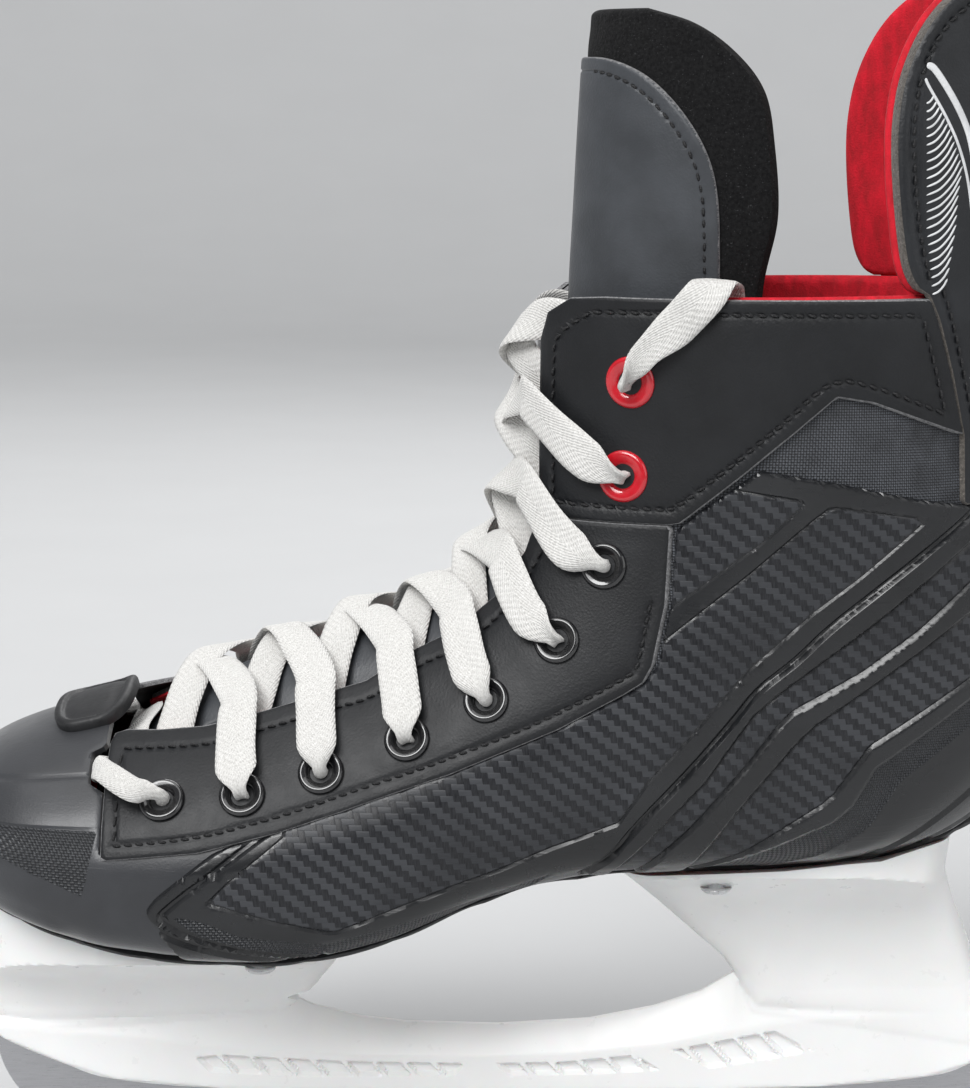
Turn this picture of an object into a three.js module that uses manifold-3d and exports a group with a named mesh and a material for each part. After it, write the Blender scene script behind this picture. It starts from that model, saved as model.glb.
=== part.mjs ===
// Left ice hockey skate of a child's size, as an assembly of separate pieces. Millimetres, +Z up, toe towards -X,
// outer (lateral) side towards -Y. The origin is the middle of the flat stretch of the runner's edge, on the ice.
import * as THREE from "three";
import { mergeVertices } from "three/addons/utils/BufferGeometryUtils.js";
import Module from "manifold-3d";

const wasm = await Module();
wasm.setup();

// ---------------------------------------------------------------- driving dimensions
const GAP = 0.3; // between touching pieces
const QUARTER = [-1.5, 0]; // depths below (-) and above (+) the boot's outer skin
const OVERLAY = [GAP, 1.4]; // facings, ankle panels, tendon guard
const SIDE_PANEL = [GAP, 1.1]; // moulded side panels
const TOE_CAP = [-1.5, 0.9];
const COUNTER = [-2.7, -1.8];
const LINER = [-4.6, -3.0];
const OUTSOLE = 2.4; // thickness
const BOARD = [1.8, 3.6]; // heights above the boot's bottom line
const FOOTBED = [4.9, 8.8];
const COLLAR_Z = 186.3;
const BEHIND = 135; // a place behind the heel, where side-view cutting outlines close
const OUTSOLE_LIP = 0.9; // how far the outsole's edge rises above the bottom line
const TONGUE_FELT = 4.2; // thickness
const TONGUE_SIDES = 8; // facets across the tongue
const TONGUE_SINK = 0.6; // how far the tongue lies below its stations
const TONGUE_COVER = [0.4, 1.2];
const LACE = { width: 7.4, thick: 1.1 };
const EYELET = { bore: 2.3, barrel: 2.8, flange: 4.8, topFlange: 5.3, lip: 0.7, inner: 3.6, sides: 8 };
const RUNNER_THICK = 3.0;
const SLOT = 3.6; // groove in the holder that takes the runner
const RAIL = 5.2; // half width of the holder's rail
const RIVET = { shaft: 1.8, head: 3.4, tall: 1.1 };
const NUT_R = 4.4;
const BOLT = { r: 2.2, head: 3.8 };

// ---------------------------------------------------------------- three.js <-> manifold-3d
function solid(geometry) {
  const g = geometry.clone();
  g.deleteAttribute("normal");
  g.deleteAttribute("uv");
  const m = mergeVertices(g, 1e-4);
  const mesh = new wasm.Mesh({
    numProp: 3,
    vertProperties: new Float32Array(m.attributes.position.array),
    triVerts: new Uint32Array(m.index.array),
  });
  return new wasm.Manifold(mesh);
}

function geometryOf(manifold) {
  const m = manifold.getMesh();
  const g = new THREE.BufferGeometry();
  g.setAttribute("position", new THREE.BufferAttribute(new Float32Array(m.vertProperties), 3));
  g.setIndex(new THREE.BufferAttribute(new Uint32Array(m.triVerts), 1));
  g.computeVertexNormals();
  return g;
}

const unite = (list) => list.reduce((a, b) => a.add(b));

// Keeps a solid's largest body, so that slivers from a cut don't remain.
function largest(s) {
  return s.decompose().sort((a, b) => b.volume() - a.volume())[0];
}

// A closed body through rings of points. The second half of each ring mirrors the first, in its facets too, and
// each end is closed between the two halves.
function loft(rings) {
  const n = rings[0].length;
  const position = rings.flat().flatMap(({ x, y, z }) => [x, y, z]);
  const index = [];
  for (let i = 0; i + 1 < rings.length; i++)
    for (let j = 0; j < n; j++) {
      const [a, b] = [i * n + j, i * n + ((j + 1) % n)];
      index.push(...(j < n / 2 ? [a, b, b + n, a, b + n, a + n] : [a, b, a + n, b, b + n, a + n]));
    }
  for (const [row, turn] of [[0, 1], [rings.length - 1, 0]])
    for (let j = 0; j + 1 < n / 2; j++) {
      const [a, b, c, d] = [j, j + 1, n - 2 - j, n - 1 - j].map((k) => row * n + k);
      const sides = c === b ? [[a, b, d]] : [[a, b, c], [a, c, d]];
      for (const [p, q, r] of sides) index.push(...(turn ? [p, r, q] : [p, q, r]));
    }
  const g = new THREE.BufferGeometry();
  g.setAttribute("position", new THREE.Float32BufferAttribute(position, 3));
  g.setIndex(index);
  const made = solid(g);
  if (made.volume() > 0) return made;
  g.setIndex(index.map((_, i) => index[i - (i % 3) + 2 - (i % 3)]));
  return solid(g);
}

// A side-view outline [[x, z], ...] extruded from y0 to y1.
function prismY(points, y0, y1) {
  const shape = new THREE.Shape(points.map(([x, z]) => new THREE.Vector2(x, z)));
  const g = new THREE.ExtrudeGeometry(shape, { depth: y1 - y0, bevelEnabled: false });
  return solid(g.rotateX(Math.PI / 2).translate(0, y1, 0));
}

// A front-view outline [[y, z], ...] extruded from x0 to x1.
function prismX(points, x0, x1) {
  const shape = new THREE.Shape(points.map(([y, z]) => new THREE.Vector2(y, z)));
  const g = new THREE.ExtrudeGeometry(shape, { depth: x1 - x0, bevelEnabled: false });
  return solid(g.rotateX(Math.PI / 2).rotateZ(Math.PI / 2).translate(x0, 0, 0));
}

// A plan outline [[x, y], ...] extruded from z0 to z1.
function prismZ(points, z0, z1) {
  const shape = new THREE.Shape(points.map(([x, y]) => new THREE.Vector2(x, y)));
  const g = new THREE.ExtrudeGeometry(shape, { depth: z1 - z0, bevelEnabled: false });
  return solid(g.translate(0, 0, z0));
}

function box(x0, x1, y0, y1, z0, z1) {
  const g = new THREE.BoxGeometry(x1 - x0, y1 - y0, z1 - z0);
  return solid(g.translate((x0 + x1) / 2, (y0 + y1) / 2, (z0 + z1) / 2));
}

// A lathe profile [[radius, height], ...] that closes on itself, with its axis from `at` along `axis`.
function turned(profile, at, axis, sides) {
  const points = [...profile, profile[0]].map(([r, h]) => new THREE.Vector2(r, h));
  const g = new THREE.LatheGeometry(points, sides).rotateX(Math.PI / 2);
  const turn = new THREE.Quaternion().setFromUnitVectors(new THREE.Vector3(0, 0, 1), axis);
  const made = solid(g.applyQuaternion(turn).translate(at.x, at.y, at.z));
  if (made.volume() > 0) return made;
  const flipped = g.clone();
  const i = flipped.index.array;
  for (let k = 0; k < i.length; k += 3) [i[k + 1], i[k + 2]] = [i[k + 2], i[k + 1]];
  return solid(flipped);
}

function rod(r, at, axis, low, high, sides = 12) {
  return turned([[0, low], [r, low], [r, high], [0, high]], at, axis, sides);
}

// A smooth curve through [[x, z], ...].
function smooth(points, count) {
  const curve = new THREE.SplineCurve(points.map(([x, z]) => new THREE.Vector2(x, z)));
  return curve.getPoints(count).map((p) => [p.x, p.y]);
}

// ---------------------------------------------------------------- the boot's form
// Sections fan round from the toe (upright) to the ankle (level). Each goes from a point on the sole and back line
// to a point on the instep and shin line: [back x, z, front x, z, half width, height of the widest point,
// roundness below it, roundness above it, sideways shift at the back, at the front].
const SECTIONS = [
  [-115.6, 70.0, -116.0, 76.0, 8.0, 0.45, 2.4, 2.2, 5.0, 5.5],
  [-113.6, 65.0, -114.2, 82.5, 20.0, 0.42, 3.0, 2.2, 5.0, 5.5],
  [-108.0, 61.0, -108.8, 88.2, 29.0, 0.4, 3.6, 2.1, 4.5, 5.5],
  [-99.0, 57.0, -100.0, 92.4, 35.0, 0.38, 4.2, 2.0, 4.0, 5.5],
  [-87.0, 53.5, -88.5, 95.8, 38.8, 0.38, 4.6, 1.9, 3.0, 6.0],
  [-72.0, 51.0, -75.5, 99.6, 41.0, 0.38, 5.0, 1.75, 1.5, 6.0],
  [-56.0, 50.0, -60.0, 105.4, 41.6, 0.38, 5.0, 1.62, 0.5, 5.5],
  [-40.0, 50.4, -44.0, 111.6, 41.0, 0.38, 5.0, 1.56, 0.0, 4.5],
  [-22.0, 54.5, -29.0, 116.8, 39.4, 0.38, 5.0, 1.56, 0.0, 3.0],
  [-3.0, 62.0, -16.0, 121.8, 37.6, 0.4, 4.8, 1.6, 0.0, 1.5],
  [17.0, 66.4, -6.5, 128.4, 36.4, 0.42, 4.4, 1.7, 0.0, 0.5],
  [38.0, 67.2, -0.5, 136.4, 35.4, 0.44, 4.0, 1.8, 0.0, 0.0],
  [60.0, 67.2, 3.0, 145.6, 34.8, 0.46, 3.6, 1.9, 0.0, 0.0],
  [80.0, 68.4, 4.4, 154.0, 34.4, 0.46, 3.2, 2.0, 0.0, 0.0],
  [96.0, 73.2, 4.9, 162.0, 34.4, 0.46, 2.8, 2.05, 0.0, 0.0],
  [108.0, 83.0, 5.1, 169.6, 34.6, 0.46, 2.5, 2.1, 0.0, 0.0],
  [114.4, 96.5, 5.2, 177.0, 34.8, 0.46, 2.3, 2.15, 0.0, 0.0],
  [115.2, 111.0, 5.4, 184.6, 35.2, 0.47, 2.2, 2.2, 0.0, 0.0],
  [112.6, 128.0, 6.2, 192.0, 35.6, 0.48, 2.2, 2.2, 0.0, 0.0],
  [110.6, 147.0, 7.4, 200.4, 36.0, 0.5, 2.2, 2.2, 0.0, 0.0],
  [110.2, 167.0, 8.8, 209.0, 36.0, 0.5, 2.2, 2.2, 0.0, 0.0],
  [110.9, 188.0, 10.2, 218.6, 35.0, 0.5, 2.2, 2.2, 0.0, 0.0],
  [111.8, 208.0, 11.8, 229.0, 33.6, 0.5, 2.2, 2.2, 0.0, 0.0],
  [112.0, 230.0, 13.4, 241.0, 31.6, 0.5, 2.2, 2.2, 0.0, 0.0],
  [111.2, 256.0, 15.0, 258.0, 29.4, 0.5, 2.2, 2.2, 0.0, 0.0],
];
const LAST = SECTIONS.length - 1;
const FORM_STEPS = [0, 1, 2, 3.5, 5, 7, 9, 11, 13, 14.5, 15.5, 16.5, 18, 20.5, LAST];
const FORM_SIDES = 20;

function sectionAt(t) {
  const i = Math.min(Math.max(Math.floor(t), 0), LAST - 1);
  const f = t - i;
  const row = (k) => SECTIONS[Math.min(Math.max(k, 0), LAST)];
  const [p, q, r, s] = [row(i - 1), row(i), row(i + 1), row(i + 2)];
  return q.map((_, k) => {
    const [a, b, c, d] = [p[k], q[k], r[k], s[k]];
    const cubic = -a + 3 * b - 3 * c + d;
    return 0.5 * (2 * b + (c - a) * f + (2 * a - 5 * b + 4 * c - d) * f * f + cubic * f ** 3);
  });
}

// Unit normals of the back and front lines, and how far the sides lean, at a section.
function slopesAt(t) {
  const h = 0.05;
  const [t0, t1] = [Math.max(t - h, 0), Math.min(t + h, LAST)];
  const [a, b] = [sectionAt(t0), sectionAt(t1)];
  const back = new THREE.Vector2(b[0] - a[0], b[1] - a[1]).normalize();
  const front = new THREE.Vector2(b[2] - a[2], b[3] - a[3]).normalize();
  const run = Math.hypot(b[0] + b[2] - a[0] - a[2], b[1] + b[3] - a[1] - a[3]) / 2;
  const lean = (b[4] - a[4]) / run;
  return { back: [back.y, -back.x], front: [-front.y, front.x], lean };
}

// A point of the form, at depth d outside its skin. The angle is 0 at the sole and back line and pi at the front
// line, positive on the lateral side and negative on the medial side.
function skin(t, angle, d = 0) {
  const [bx, bz, fx, fz, w, mid, low, high, yBack, yFront] = sectionAt(t);
  const { back, front, lean } = slopesAt(t);
  const [x0, z0] = [bx + d * back[0], bz + d * back[1]];
  const [x1, z1] = [fx + d * front[0], fz + d * front[1]];
  const half = w + d / Math.hypot(1, lean);
  const c = Math.cos(angle);
  const power = 2 / (c > 0 ? low : high);
  const along = Math.abs(c) ** power;
  const s = c > 0 ? mid * (1 - along) : mid + (1 - mid) * along;
  const y = -Math.sign(angle) * half * Math.abs(Math.sin(angle)) ** power + yBack + (yFront - yBack) * s;
  return new THREE.Vector3(x0 + (x1 - x0) * s, y, z0 + (z1 - z0) * s);
}

const forms = new Map();
function form(d) {
  if (!forms.has(d)) {
    const rings = FORM_STEPS.map((t) =>
      Array.from({ length: FORM_SIDES }, (_, k) => skin(t, Math.PI * (1 - (2 * k) / FORM_SIDES), d)),
    );
    forms.set(d, loft(rings));
  }
  return forms.get(d);
}

const shell = ([inner, outer]) => form(outer).subtract(form(inner));

// Where the form's side stands at a side-view point: { t, angle }, for side 1 (lateral) or -1 (medial).
function placeAt(x, z, side) {
  const off = (t) => {
    const [bx, bz, fx, fz] = sectionAt(t);
    return (fx - bx) * (z - bz) - (fz - bz) * (x - bx);
  };
  let found = null;
  for (let t = 0; t < LAST; t += 0.05) {
    if (Math.sign(off(t)) === Math.sign(off(t + 0.05))) continue;
    let [a, b] = [t, t + 0.05];
    for (let k = 0; k < 30; k++) {
      const m = (a + b) / 2;
      if (Math.sign(off(m)) === Math.sign(off(a))) a = m;
      else b = m;
    }
    const [bx, bz, fx, fz, , mid, low, high] = sectionAt(a);
    const s = ((x - bx) * (fx - bx) + (z - bz) * (fz - bz)) / ((fx - bx) ** 2 + (fz - bz) ** 2);
    if (s <= 0 || s >= 1) continue;
    const c = s < mid ? (1 - s / mid) ** (low / 2) : -(((s - mid) / (1 - mid)) ** (high / 2));
    found = { t: a, angle: side * Math.acos(c) };
  }
  return found;
}

function normalAt(t, angle) {
  const h = 0.02;
  const du = skin(t + h, angle).sub(skin(t - h, angle));
  const dv = skin(t, angle + h).sub(skin(t, angle - h));
  const n = du.cross(dv).normalize();
  const [bx, bz, fx, fz, , mid] = sectionAt(t);
  const heart = new THREE.Vector3(bx + (fx - bx) * mid, 0, bz + (fz - bz) * mid);
  return n.dot(skin(t, angle).sub(heart)) < 0 ? n.negate() : n;
}

// Height of the boot's bottom line at x, and a side-view band that follows it.
const SOLE_LINE = SECTIONS.slice(0, 16).map(([x, z]) => [x, z]);
function soleZ(x) {
  const k = SOLE_LINE.findIndex(([px], i) => i > 0 && (px > x || i === SOLE_LINE.length - 1));
  const [[x0, z0], [x1, z1]] = [SOLE_LINE[k - 1], SOLE_LINE[k]];
  return z0 + ((z1 - z0) * (x - x0)) / (x1 - x0);
}
function band(low, high, x0, x1) {
  const edge = [[x0, soleZ(x0)], ...SOLE_LINE.filter(([x]) => x > x0 && x < x1), [x1, soleZ(x1)]];
  return prismY([...edge.map(([x, z]) => [x, z + low]), ...edge.reverse().map(([x, z]) => [x, z + high])], -60, 60);
}
// Top of a level that stands `high` above the bottom line, over a disc of radius r.
const levelOver = (x, r, high) => Math.max(soleZ(x - r), soleZ(x + r)) + high;

// ---------------------------------------------------------------- side-view outlines of the upper's pieces
const THROAT = [
  [-70, 95], [-60, 96.4], [-49, 99.4], [-36, 103.4], [-27, 106.2], [-17.6, 112], [-8.2, 116.8], [0.5, 124.4],
  [6.4, 133.6], [9.4, 142],
];
const FRONT_RISE = [[9.6, 160], [9.8, 177], [11.2, 182.6], [15.6, 185.8], [22, COLLAR_Z]];
const FACING_LOW = [
  [-80.5, 72.7], [-60.5, 74.9], [-44.3, 79], [-32.1, 82.9], [-9.7, 90.7], [12.6, 100], [28.8, 109.2],
  [31.8, 113.2], [34.4, 125.3], [35.2, 140],
];
const PANEL_LOW = [[37.1, 140.5], [48.5, 150], [58.1, 158.3], [66.8, 166], [73.9, 164.8], [91.8, 157.7]];
const GUARD_SEAM = [[92.4, 158], [89.6, 171], [86.6, 182], [85, COLLAR_Z]];
const MEDIAL_RISE = 3.5; // the medial facing stands higher beside the toes
const FACING_FRONT = -80.5;
const CAP_REAR = -80.9;

// The throat's edge on one side; the medial one is higher near the toe.
function throatEdge(side) {
  return THROAT.map(([x, z]) => [x, side > 0 ? z : z + MEDIAL_RISE * THREE.MathUtils.clamp((0 - x) / 60, 0, 1)]);
}
const sideSpan = (side) => (side > 0 ? [-60, -0.15] : [0.15, 60]);
const cutSide = (outline, side) => prismY(outline, ...sideSpan(side));

function quarterOutline(side) {
  const front = [[CAP_REAR + GAP, 30], [CAP_REAR + GAP, 84], [-77, 84.6], [-77, 94.4]];
  const back = [[85, COLLAR_Z], [BEHIND, COLLAR_Z], [BEHIND, 30]];
  return [...front, ...throatEdge(side), ...FRONT_RISE, ...back];
}
function facingOutline(side) {
  const edge = throatEdge(side);
  const nose = [[FACING_FRONT, edge[0][1] - 2.5], [-77, edge[0][1] - 0.6]];
  return [[FACING_FRONT, 72.7], ...nose, ...edge, [35.2, 141.2], ...[...FACING_LOW].reverse()];
}
function anklePanelOutline() {
  const low = PANEL_LOW.map(([x, z]) => [x, z + 1.3]);
  return [[9.6, 142.8], ...FRONT_RISE, ...[...GUARD_SEAM].reverse(), ...low.reverse(), [35, 142.6]];
}
const SIDE_PANEL_TOP = [
  [-71.5, 63], [-69.5, 66], [-58, 74.4], [-44.3, 78.4], [-32.1, 82.3], [-9.7, 90.1], [12.8, 99.4], [29.2, 108.6],
  [32.4, 113], [35, 125.3], [35.8, 139.8], [44, 145.6], [52, 150.6], [88, 146], [125, 141],
];
const SIDE_PANEL_LOW = [125, 108, 96, 80, 60, 38, 17, -3, -22, -40, -56, -66].map((x) => [x, soleZ(x) + 1.6]);

// ---------------------------------------------------------------- eyelets
const EYELET_SPOTS = [
  [-68.2, 83.4], [-51.7, 85], [-35.7, 89.6], [-18.1, 96.4], [-2, 104.6], [12.3, 116.8], [21.8, 132], [25.8, 150.4],
  [27.1, 169.6],
];
const TOP_EYELETS = 2;

function eyeletFrame(k, side) {
  const [x, z] = EYELET_SPOTS[k];
  const rise = side > 0 ? 0 : MEDIAL_RISE * THREE.MathUtils.clamp((0 - x) / 60, 0, 1) * 0.8;
  const place = placeAt(x, z + rise, side);
  return { ...place, at: skin(place.t, place.angle), normal: normalAt(place.t, place.angle) };
}
const isTop = (k) => k >= EYELET_SPOTS.length - TOP_EYELETS;

function eyelet(k, side) {
  const { at, normal } = eyeletFrame(k, side);
  const flange = isTop(k) ? EYELET.topFlange : EYELET.flange;
  const [seat, top] = [OVERLAY[1] + GAP, OVERLAY[1] + GAP + EYELET.lip];
  const foot = QUARTER[0] - GAP;
  const profile = [
    [EYELET.bore, foot - 0.7], [EYELET.inner, foot - 0.7], [EYELET.inner, foot], [EYELET.barrel, foot],
    [EYELET.barrel, seat], [flange, seat], [flange - 0.9, top], [EYELET.bore, top],
  ];
  return turned(profile, at, normal, EYELET.sides);
}
// What an eyelet needs cleared in the layers that it clamps.
function eyeletRoom(k, side) {
  const { at, normal } = eyeletFrame(k, side);
  const flange = (isTop(k) ? EYELET.topFlange : EYELET.flange) + GAP;
  const [barrel, inner] = [EYELET.barrel + GAP, EYELET.inner + GAP];
  const [foot, seat] = [QUARTER[0] - 0.05, OVERLAY[1] + 0.05];
  const profile = [
    [0, -5], [inner, -5], [inner, foot], [barrel, foot], [barrel, seat], [flange, seat], [flange, 5], [0, 5],
  ];
  return turned(profile, at, normal, EYELET.sides);
}
const ROOM = {
  1: unite(EYELET_SPOTS.map((_, k) => eyeletRoom(k, 1))),
  [-1]: unite(EYELET_SPOTS.map((_, k) => eyeletRoom(k, -1))),
};

// ---------------------------------------------------------------- fastening points on the sole
const RIVET_SPOTS = [
  [-86, 15], [-86, -11], [-50, 17], [-50, -17],
  [46, 16], [46, -16], [80, 12], [80, -12],
];
const BOLT_SPOTS = [-72, 70];
const UP = new THREE.Vector3(0, 0, 1);
const soleHoles = unite([
  ...RIVET_SPOTS.map(([x, y]) => rod(RIVET.shaft + GAP, new THREE.Vector3(x, y, 0), UP, 20, 90, 8)),
  ...BOLT_SPOTS.map((x) => rod(BOLT.r + GAP, new THREE.Vector3(x, 0, 0), UP, 20, 90, 8)),
]);

// ---------------------------------------------------------------- the upper
function quarter(side) {
  const cut = shell(QUARTER).intersect(cutSide(quarterOutline(side), side));
  return largest(cut.subtract(ROOM[side]).subtract(soleHoles));
}
function facing(side) {
  return largest(shell(OVERLAY).intersect(cutSide(facingOutline(side), side)).subtract(ROOM[side]));
}
function anklePanel(side) {
  return largest(shell(OVERLAY).intersect(cutSide(anklePanelOutline(), side)).subtract(ROOM[side]));
}
function sidePanel(side) {
  const outline = [...SIDE_PANEL_TOP, ...SIDE_PANEL_LOW];
  return largest(shell(SIDE_PANEL).intersect(cutSide(outline, side)).subtract(soleHoles));
}
function toeCap() {
  const outline = [[-130, 30], [CAP_REAR, 30], [CAP_REAR, 83.4], [-84, 84.4], [-84, 99], [-84, 120], [-130, 120]];
  return largest(shell(TOE_CAP).intersect(prismY(outline, -60, 60)).subtract(soleHoles));
}
// The rubber badge that caps the tongue's root: a rounded plate on the toe cap's rear edge.
function toeBadge() {
  const outline = new THREE.EllipseCurve(-86.5, 5.5, 7.5, 15).getPoints(20).slice(0, -1).map((p) => [p.x, p.y]);
  const plate = form(TOE_CAP[1] + 2.4).subtract(form(TOE_CAP[1] + GAP));
  return largest(plate.intersect(prismZ(outline, 80, 120)));
}
function liner() {
  const back = BEHIND;
  const outline = [
    [-118, 74], [-80, 75], [-68, 76], [-50, 77.5], [-34, 82], [-15, 88.5], [2, 97], [18, 109], [29, 126], [34, 146],
    [35.5, 165], [36, 180], [40, 184], [44, COLLAR_Z], [back, COLLAR_Z], [back, 20], [-118, 20],
  ];
  return largest(shell(LINER).intersect(prismY(outline, -60, 60)).subtract(band(-60, FOOTBED[0] + 2, -130, 130)));
}
function heelCounter() {
  const outline = [[46, 79], [60, 94], [84, 106], [125, 112], [125, 79]];
  return largest(shell(COUNTER).intersect(prismY(outline, -60, 60)));
}
function guardBase() {
  const outline = [
    [93, 157.7], [90.2, 171], [87.2, 182], [85.6, COLLAR_Z], [130, COLLAR_Z], [130, 143], [93, 147.4],
  ];
  return largest(shell(OVERLAY).intersect(prismY(outline, -60, 60)));
}
const GUARD_OUTLINE = [
  [84.6, 187], [81.1, 190], [79.3, 197], [77.6, 215], [78.8, 229], [83.8, 240], [91, 248], [101, 252.5],
  [130, 252.5], [130, 187],
];
function tendonGuard() {
  return largest(shell([QUARTER[0], OVERLAY[1]]).intersect(prismY(GUARD_OUTLINE, -60, 60)));
}
function guardLining() {
  const inset = GUARD_OUTLINE.map(([x, z]) => [x < 120 ? x - 0.6 : x, z > 187 ? Math.min(z, 251) : z]);
  return largest(shell([-3.6, QUARTER[0] - GAP]).intersect(prismY(inset, -60, 60)));
}

// ---------------------------------------------------------------- soles
function outsole() {
  const capRoom = form(TOE_CAP[1] + GAP).intersect(box(-130, CAP_REAR + GAP, -60, 60, 20, 120));
  const cup = form(OUTSOLE).intersect(band(-8, OUTSOLE_LIP, -119, 107));
  return largest(cup.subtract(form(GAP)).subtract(capRoom).subtract(soleHoles));
}
function insoleBoard() {
  return largest(form(-BOARD[0]).intersect(band(-8, BOARD[1], -110, 95.5)).subtract(soleHoles));
}
function footbed() {
  const plate = form(-5.2).intersect(band(FOOTBED[0], FOOTBED[1], -105, 94));
  const pockets = BOLT_SPOTS.map((x) => rod(6, new THREE.Vector3(x, 0, soleZ(x)), UP, 0, FOOTBED[0] + 2.3, 8));
  return largest(plate.subtract(unite(pockets)));
}

// ---------------------------------------------------------------- tongue
// [front x, z, wing direction x, z, width axis, depth axis, half angle that the felt spans]
const TONGUE = [
  [-85, 86.5, 0.1, -1, 24, 18, 0.8],
  [-76, 90.6, 0.15, -1, 25, 24, 0.85],
  [-61, 101.6, 0.2, -0.98, 26, 50, 0.8],
  [-45, 108, 0.3, -0.95, 28, 68, 0.8],
  [-30, 113.2, 0.36, -0.93, 28, 68, 0.8],
  [-16.5, 118.6, 0.5, -0.87, 27, 62, 0.85],
  [-5, 126, 0.7, -0.71, 26, 50, 0.95],
  [4, 136, 0.85, -0.5, 26, 44, 1.1],
  [10, 147, 0.95, -0.3, 25, 42, 1.25],
  [13.5, 160, 1, -0.1, 25, 41, 1.4],
  [15, 174, 1, 0, 24.6, 41, 1.46],
  [15.6, 188.6, 1, 0, 24.6, 41, 1.48],
];
const TONGUE_TOP = [
  [15.7, 189.4, 1, 0, 24.8, 41, 1.48],
  [16.3, 202, 1, 0, 26, 42, 1.5],
  [17, 216, 1, 0, 27, 42, 1.46],
  [17.6, 228, 1, 0, 27, 42, 1.32],
  [18.2, 237, 1, 0, 27, 42, 1.12],
  [18.7, 243, 1, 0, 27, 42, 0.8],
];
// The throat leans to the medial side by the toes.
const TONGUE_YSHIFT = (x) => 4.5 * THREE.MathUtils.clamp(-x / 60, 0, 1);
// The half-moon end of the tongue's cover, in side view.
const COVER_END = [
  [0, 180], [0, 234.4], [18, 234.1], [24, 233.3], [31.8, 229.1], [39.7, 219.4], [43.8, 209.6], [43.4, 180],
];

function tonguePoint([x, z, dx, dz, w, deep], angle, d) {
  const size = Math.hypot(dx, dz);
  const [y0, down] = [w * Math.sin(angle), deep * (1 - Math.cos(angle))];
  const n = new THREE.Vector2(deep * Math.sin(angle), -w * Math.cos(angle)).normalize();
  const [y, out] = [y0 + n.x * d, down + TONGUE_SINK + n.y * d];
  return new THREE.Vector3(x + (dx / size) * out, y + TONGUE_YSHIFT(x), z + (dz / size) * out);
}
// A layer of the tongue between depths d0 and d1, spanning each station's half angle.
function tongueLayer(stations, spans, d0, d1, sides) {
  const rings = stations.map((row, i) => {
    const at = (k) => spans[i] * ((2 * k) / sides - 1);
    const outer = Array.from({ length: sides + 1 }, (_, k) => tonguePoint(row, at(k), d1));
    const inner = Array.from({ length: sides + 1 }, (_, k) => tonguePoint(row, at(sides - k), d0));
    return [...outer, ...inner];
  });
  return loft(rings);
}
const spans = (stations, share) => stations.map((row) => row[6] * share);
const tongueFelt = (stations) => tongueLayer(stations, spans(stations, 1), -TONGUE_FELT, 0, TONGUE_SIDES);
const tongueCover = (stations, share) =>
  tongueLayer(stations, spans(stations, share), ...TONGUE_COVER, TONGUE_SIDES * share);

// ---------------------------------------------------------------- lacing
// A flat ribbon through rows of point, face normal, width and thickness. Either face may lead, so it never turns
// over between two rows.
function ribbon(rows) {
  let last = null;
  const rings = rows.map(({ at, up, width, thick }, i) => {
    const ahead = rows[Math.min(i + 1, rows.length - 1)].at.clone().sub(rows[Math.max(i - 1, 0)].at).normalize();
    const across = new THREE.Vector3().crossVectors(ahead, up).normalize();
    if (last && across.dot(last) < 0) across.negate();
    last = across;
    const face = new THREE.Vector3().crossVectors(across, ahead).normalize();
    const [half, deep] = [width / 2, thick / 2];
    const corner = (a, b) => at.clone().addScaledVector(across, a * half).addScaledVector(face, b * deep);
    return [corner(-1, -1), corner(1, -1), corner(1, 1), corner(-1, 1)];
  });
  return loft(rings);
}
// Rows evenly spread along a smooth curve through the given rows.
function spread(rows, step) {
  const path = new THREE.CatmullRomCurve3(rows.map((r) => r.at), false, "centripetal");
  const made = [];
  for (let i = 0; i + 1 < rows.length; i++) {
    const [a, b] = [rows[i], rows[i + 1]];
    const count = Math.max(1, Math.round(a.at.distanceTo(b.at) / step));
    for (let k = 0; k < count; k++) {
      const f = k / count;
      const at = path.getPoint((i + f) / (rows.length - 1));
      const mix = THREE.MathUtils.lerp;
      const up = a.up.clone().lerp(b.up, f).normalize();
      made.push({ at, up, width: mix(a.width, b.width, f), thick: mix(a.thick, b.thick, f) });
    }
  }
  return [...made, rows[rows.length - 1]];
}
const THREADED = { width: 3, thick: 1.8 };
const BAR = { width: 5, thick: 1.1 };
const OPEN = { width: LACE.width, thick: LACE.thick };
const OVER = OVERLAY[1] + 3.2; // lace centre above an eyelet's flange
const UNDER = QUARTER[0] - 2.4; // lace centre below an eyelet's clinched foot

// A place `mm` from an eyelet towards the throat, at depth d.
function beside(k, side, mm, d) {
  const e = eyeletFrame(k, side);
  const h = 0.02 * side;
  const pace = skin(e.t, e.angle + h).distanceTo(e.at) / 0.02;
  const angle = e.angle + (side * mm) / pace;
  return { at: skin(e.t, angle, d), up: normalAt(e.t, angle), ...OPEN };
}
function contains(outline, { x, z }) {
  let inside = false;
  outline.forEach(([x0, z0], i) => {
    const [x1, z1] = outline[(i + 1) % outline.length];
    if (z0 > z !== z1 > z && x < x0 + ((x1 - x0) * (z - z0)) / (z1 - z0)) inside = !inside;
  });
  return inside;
}
// How far along its section an eyelet stands from the throat's edge.
function toEdge(k, side) {
  const outline = quarterOutline(side);
  let mm = 5;
  while (contains(outline, beside(k, side, mm, 0).at)) mm += 0.25;
  return mm;
}
function through(k, side) {
  const e = eyeletFrame(k, side);
  const across = beside(k, side, 1, 0).at.sub(e.at).normalize();
  const row = (d) => ({ at: e.at.clone().addScaledVector(e.normal, d), up: across, ...THREADED });
  return [row(OVER - 0.9), row(0.2), row(UNDER + 0.3)];
}
function onSkin(x, z, side, d) {
  const { t, angle } = placeAt(x, z, side);
  return { at: skin(t, angle, d), up: normalAt(t, angle) };
}
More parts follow.
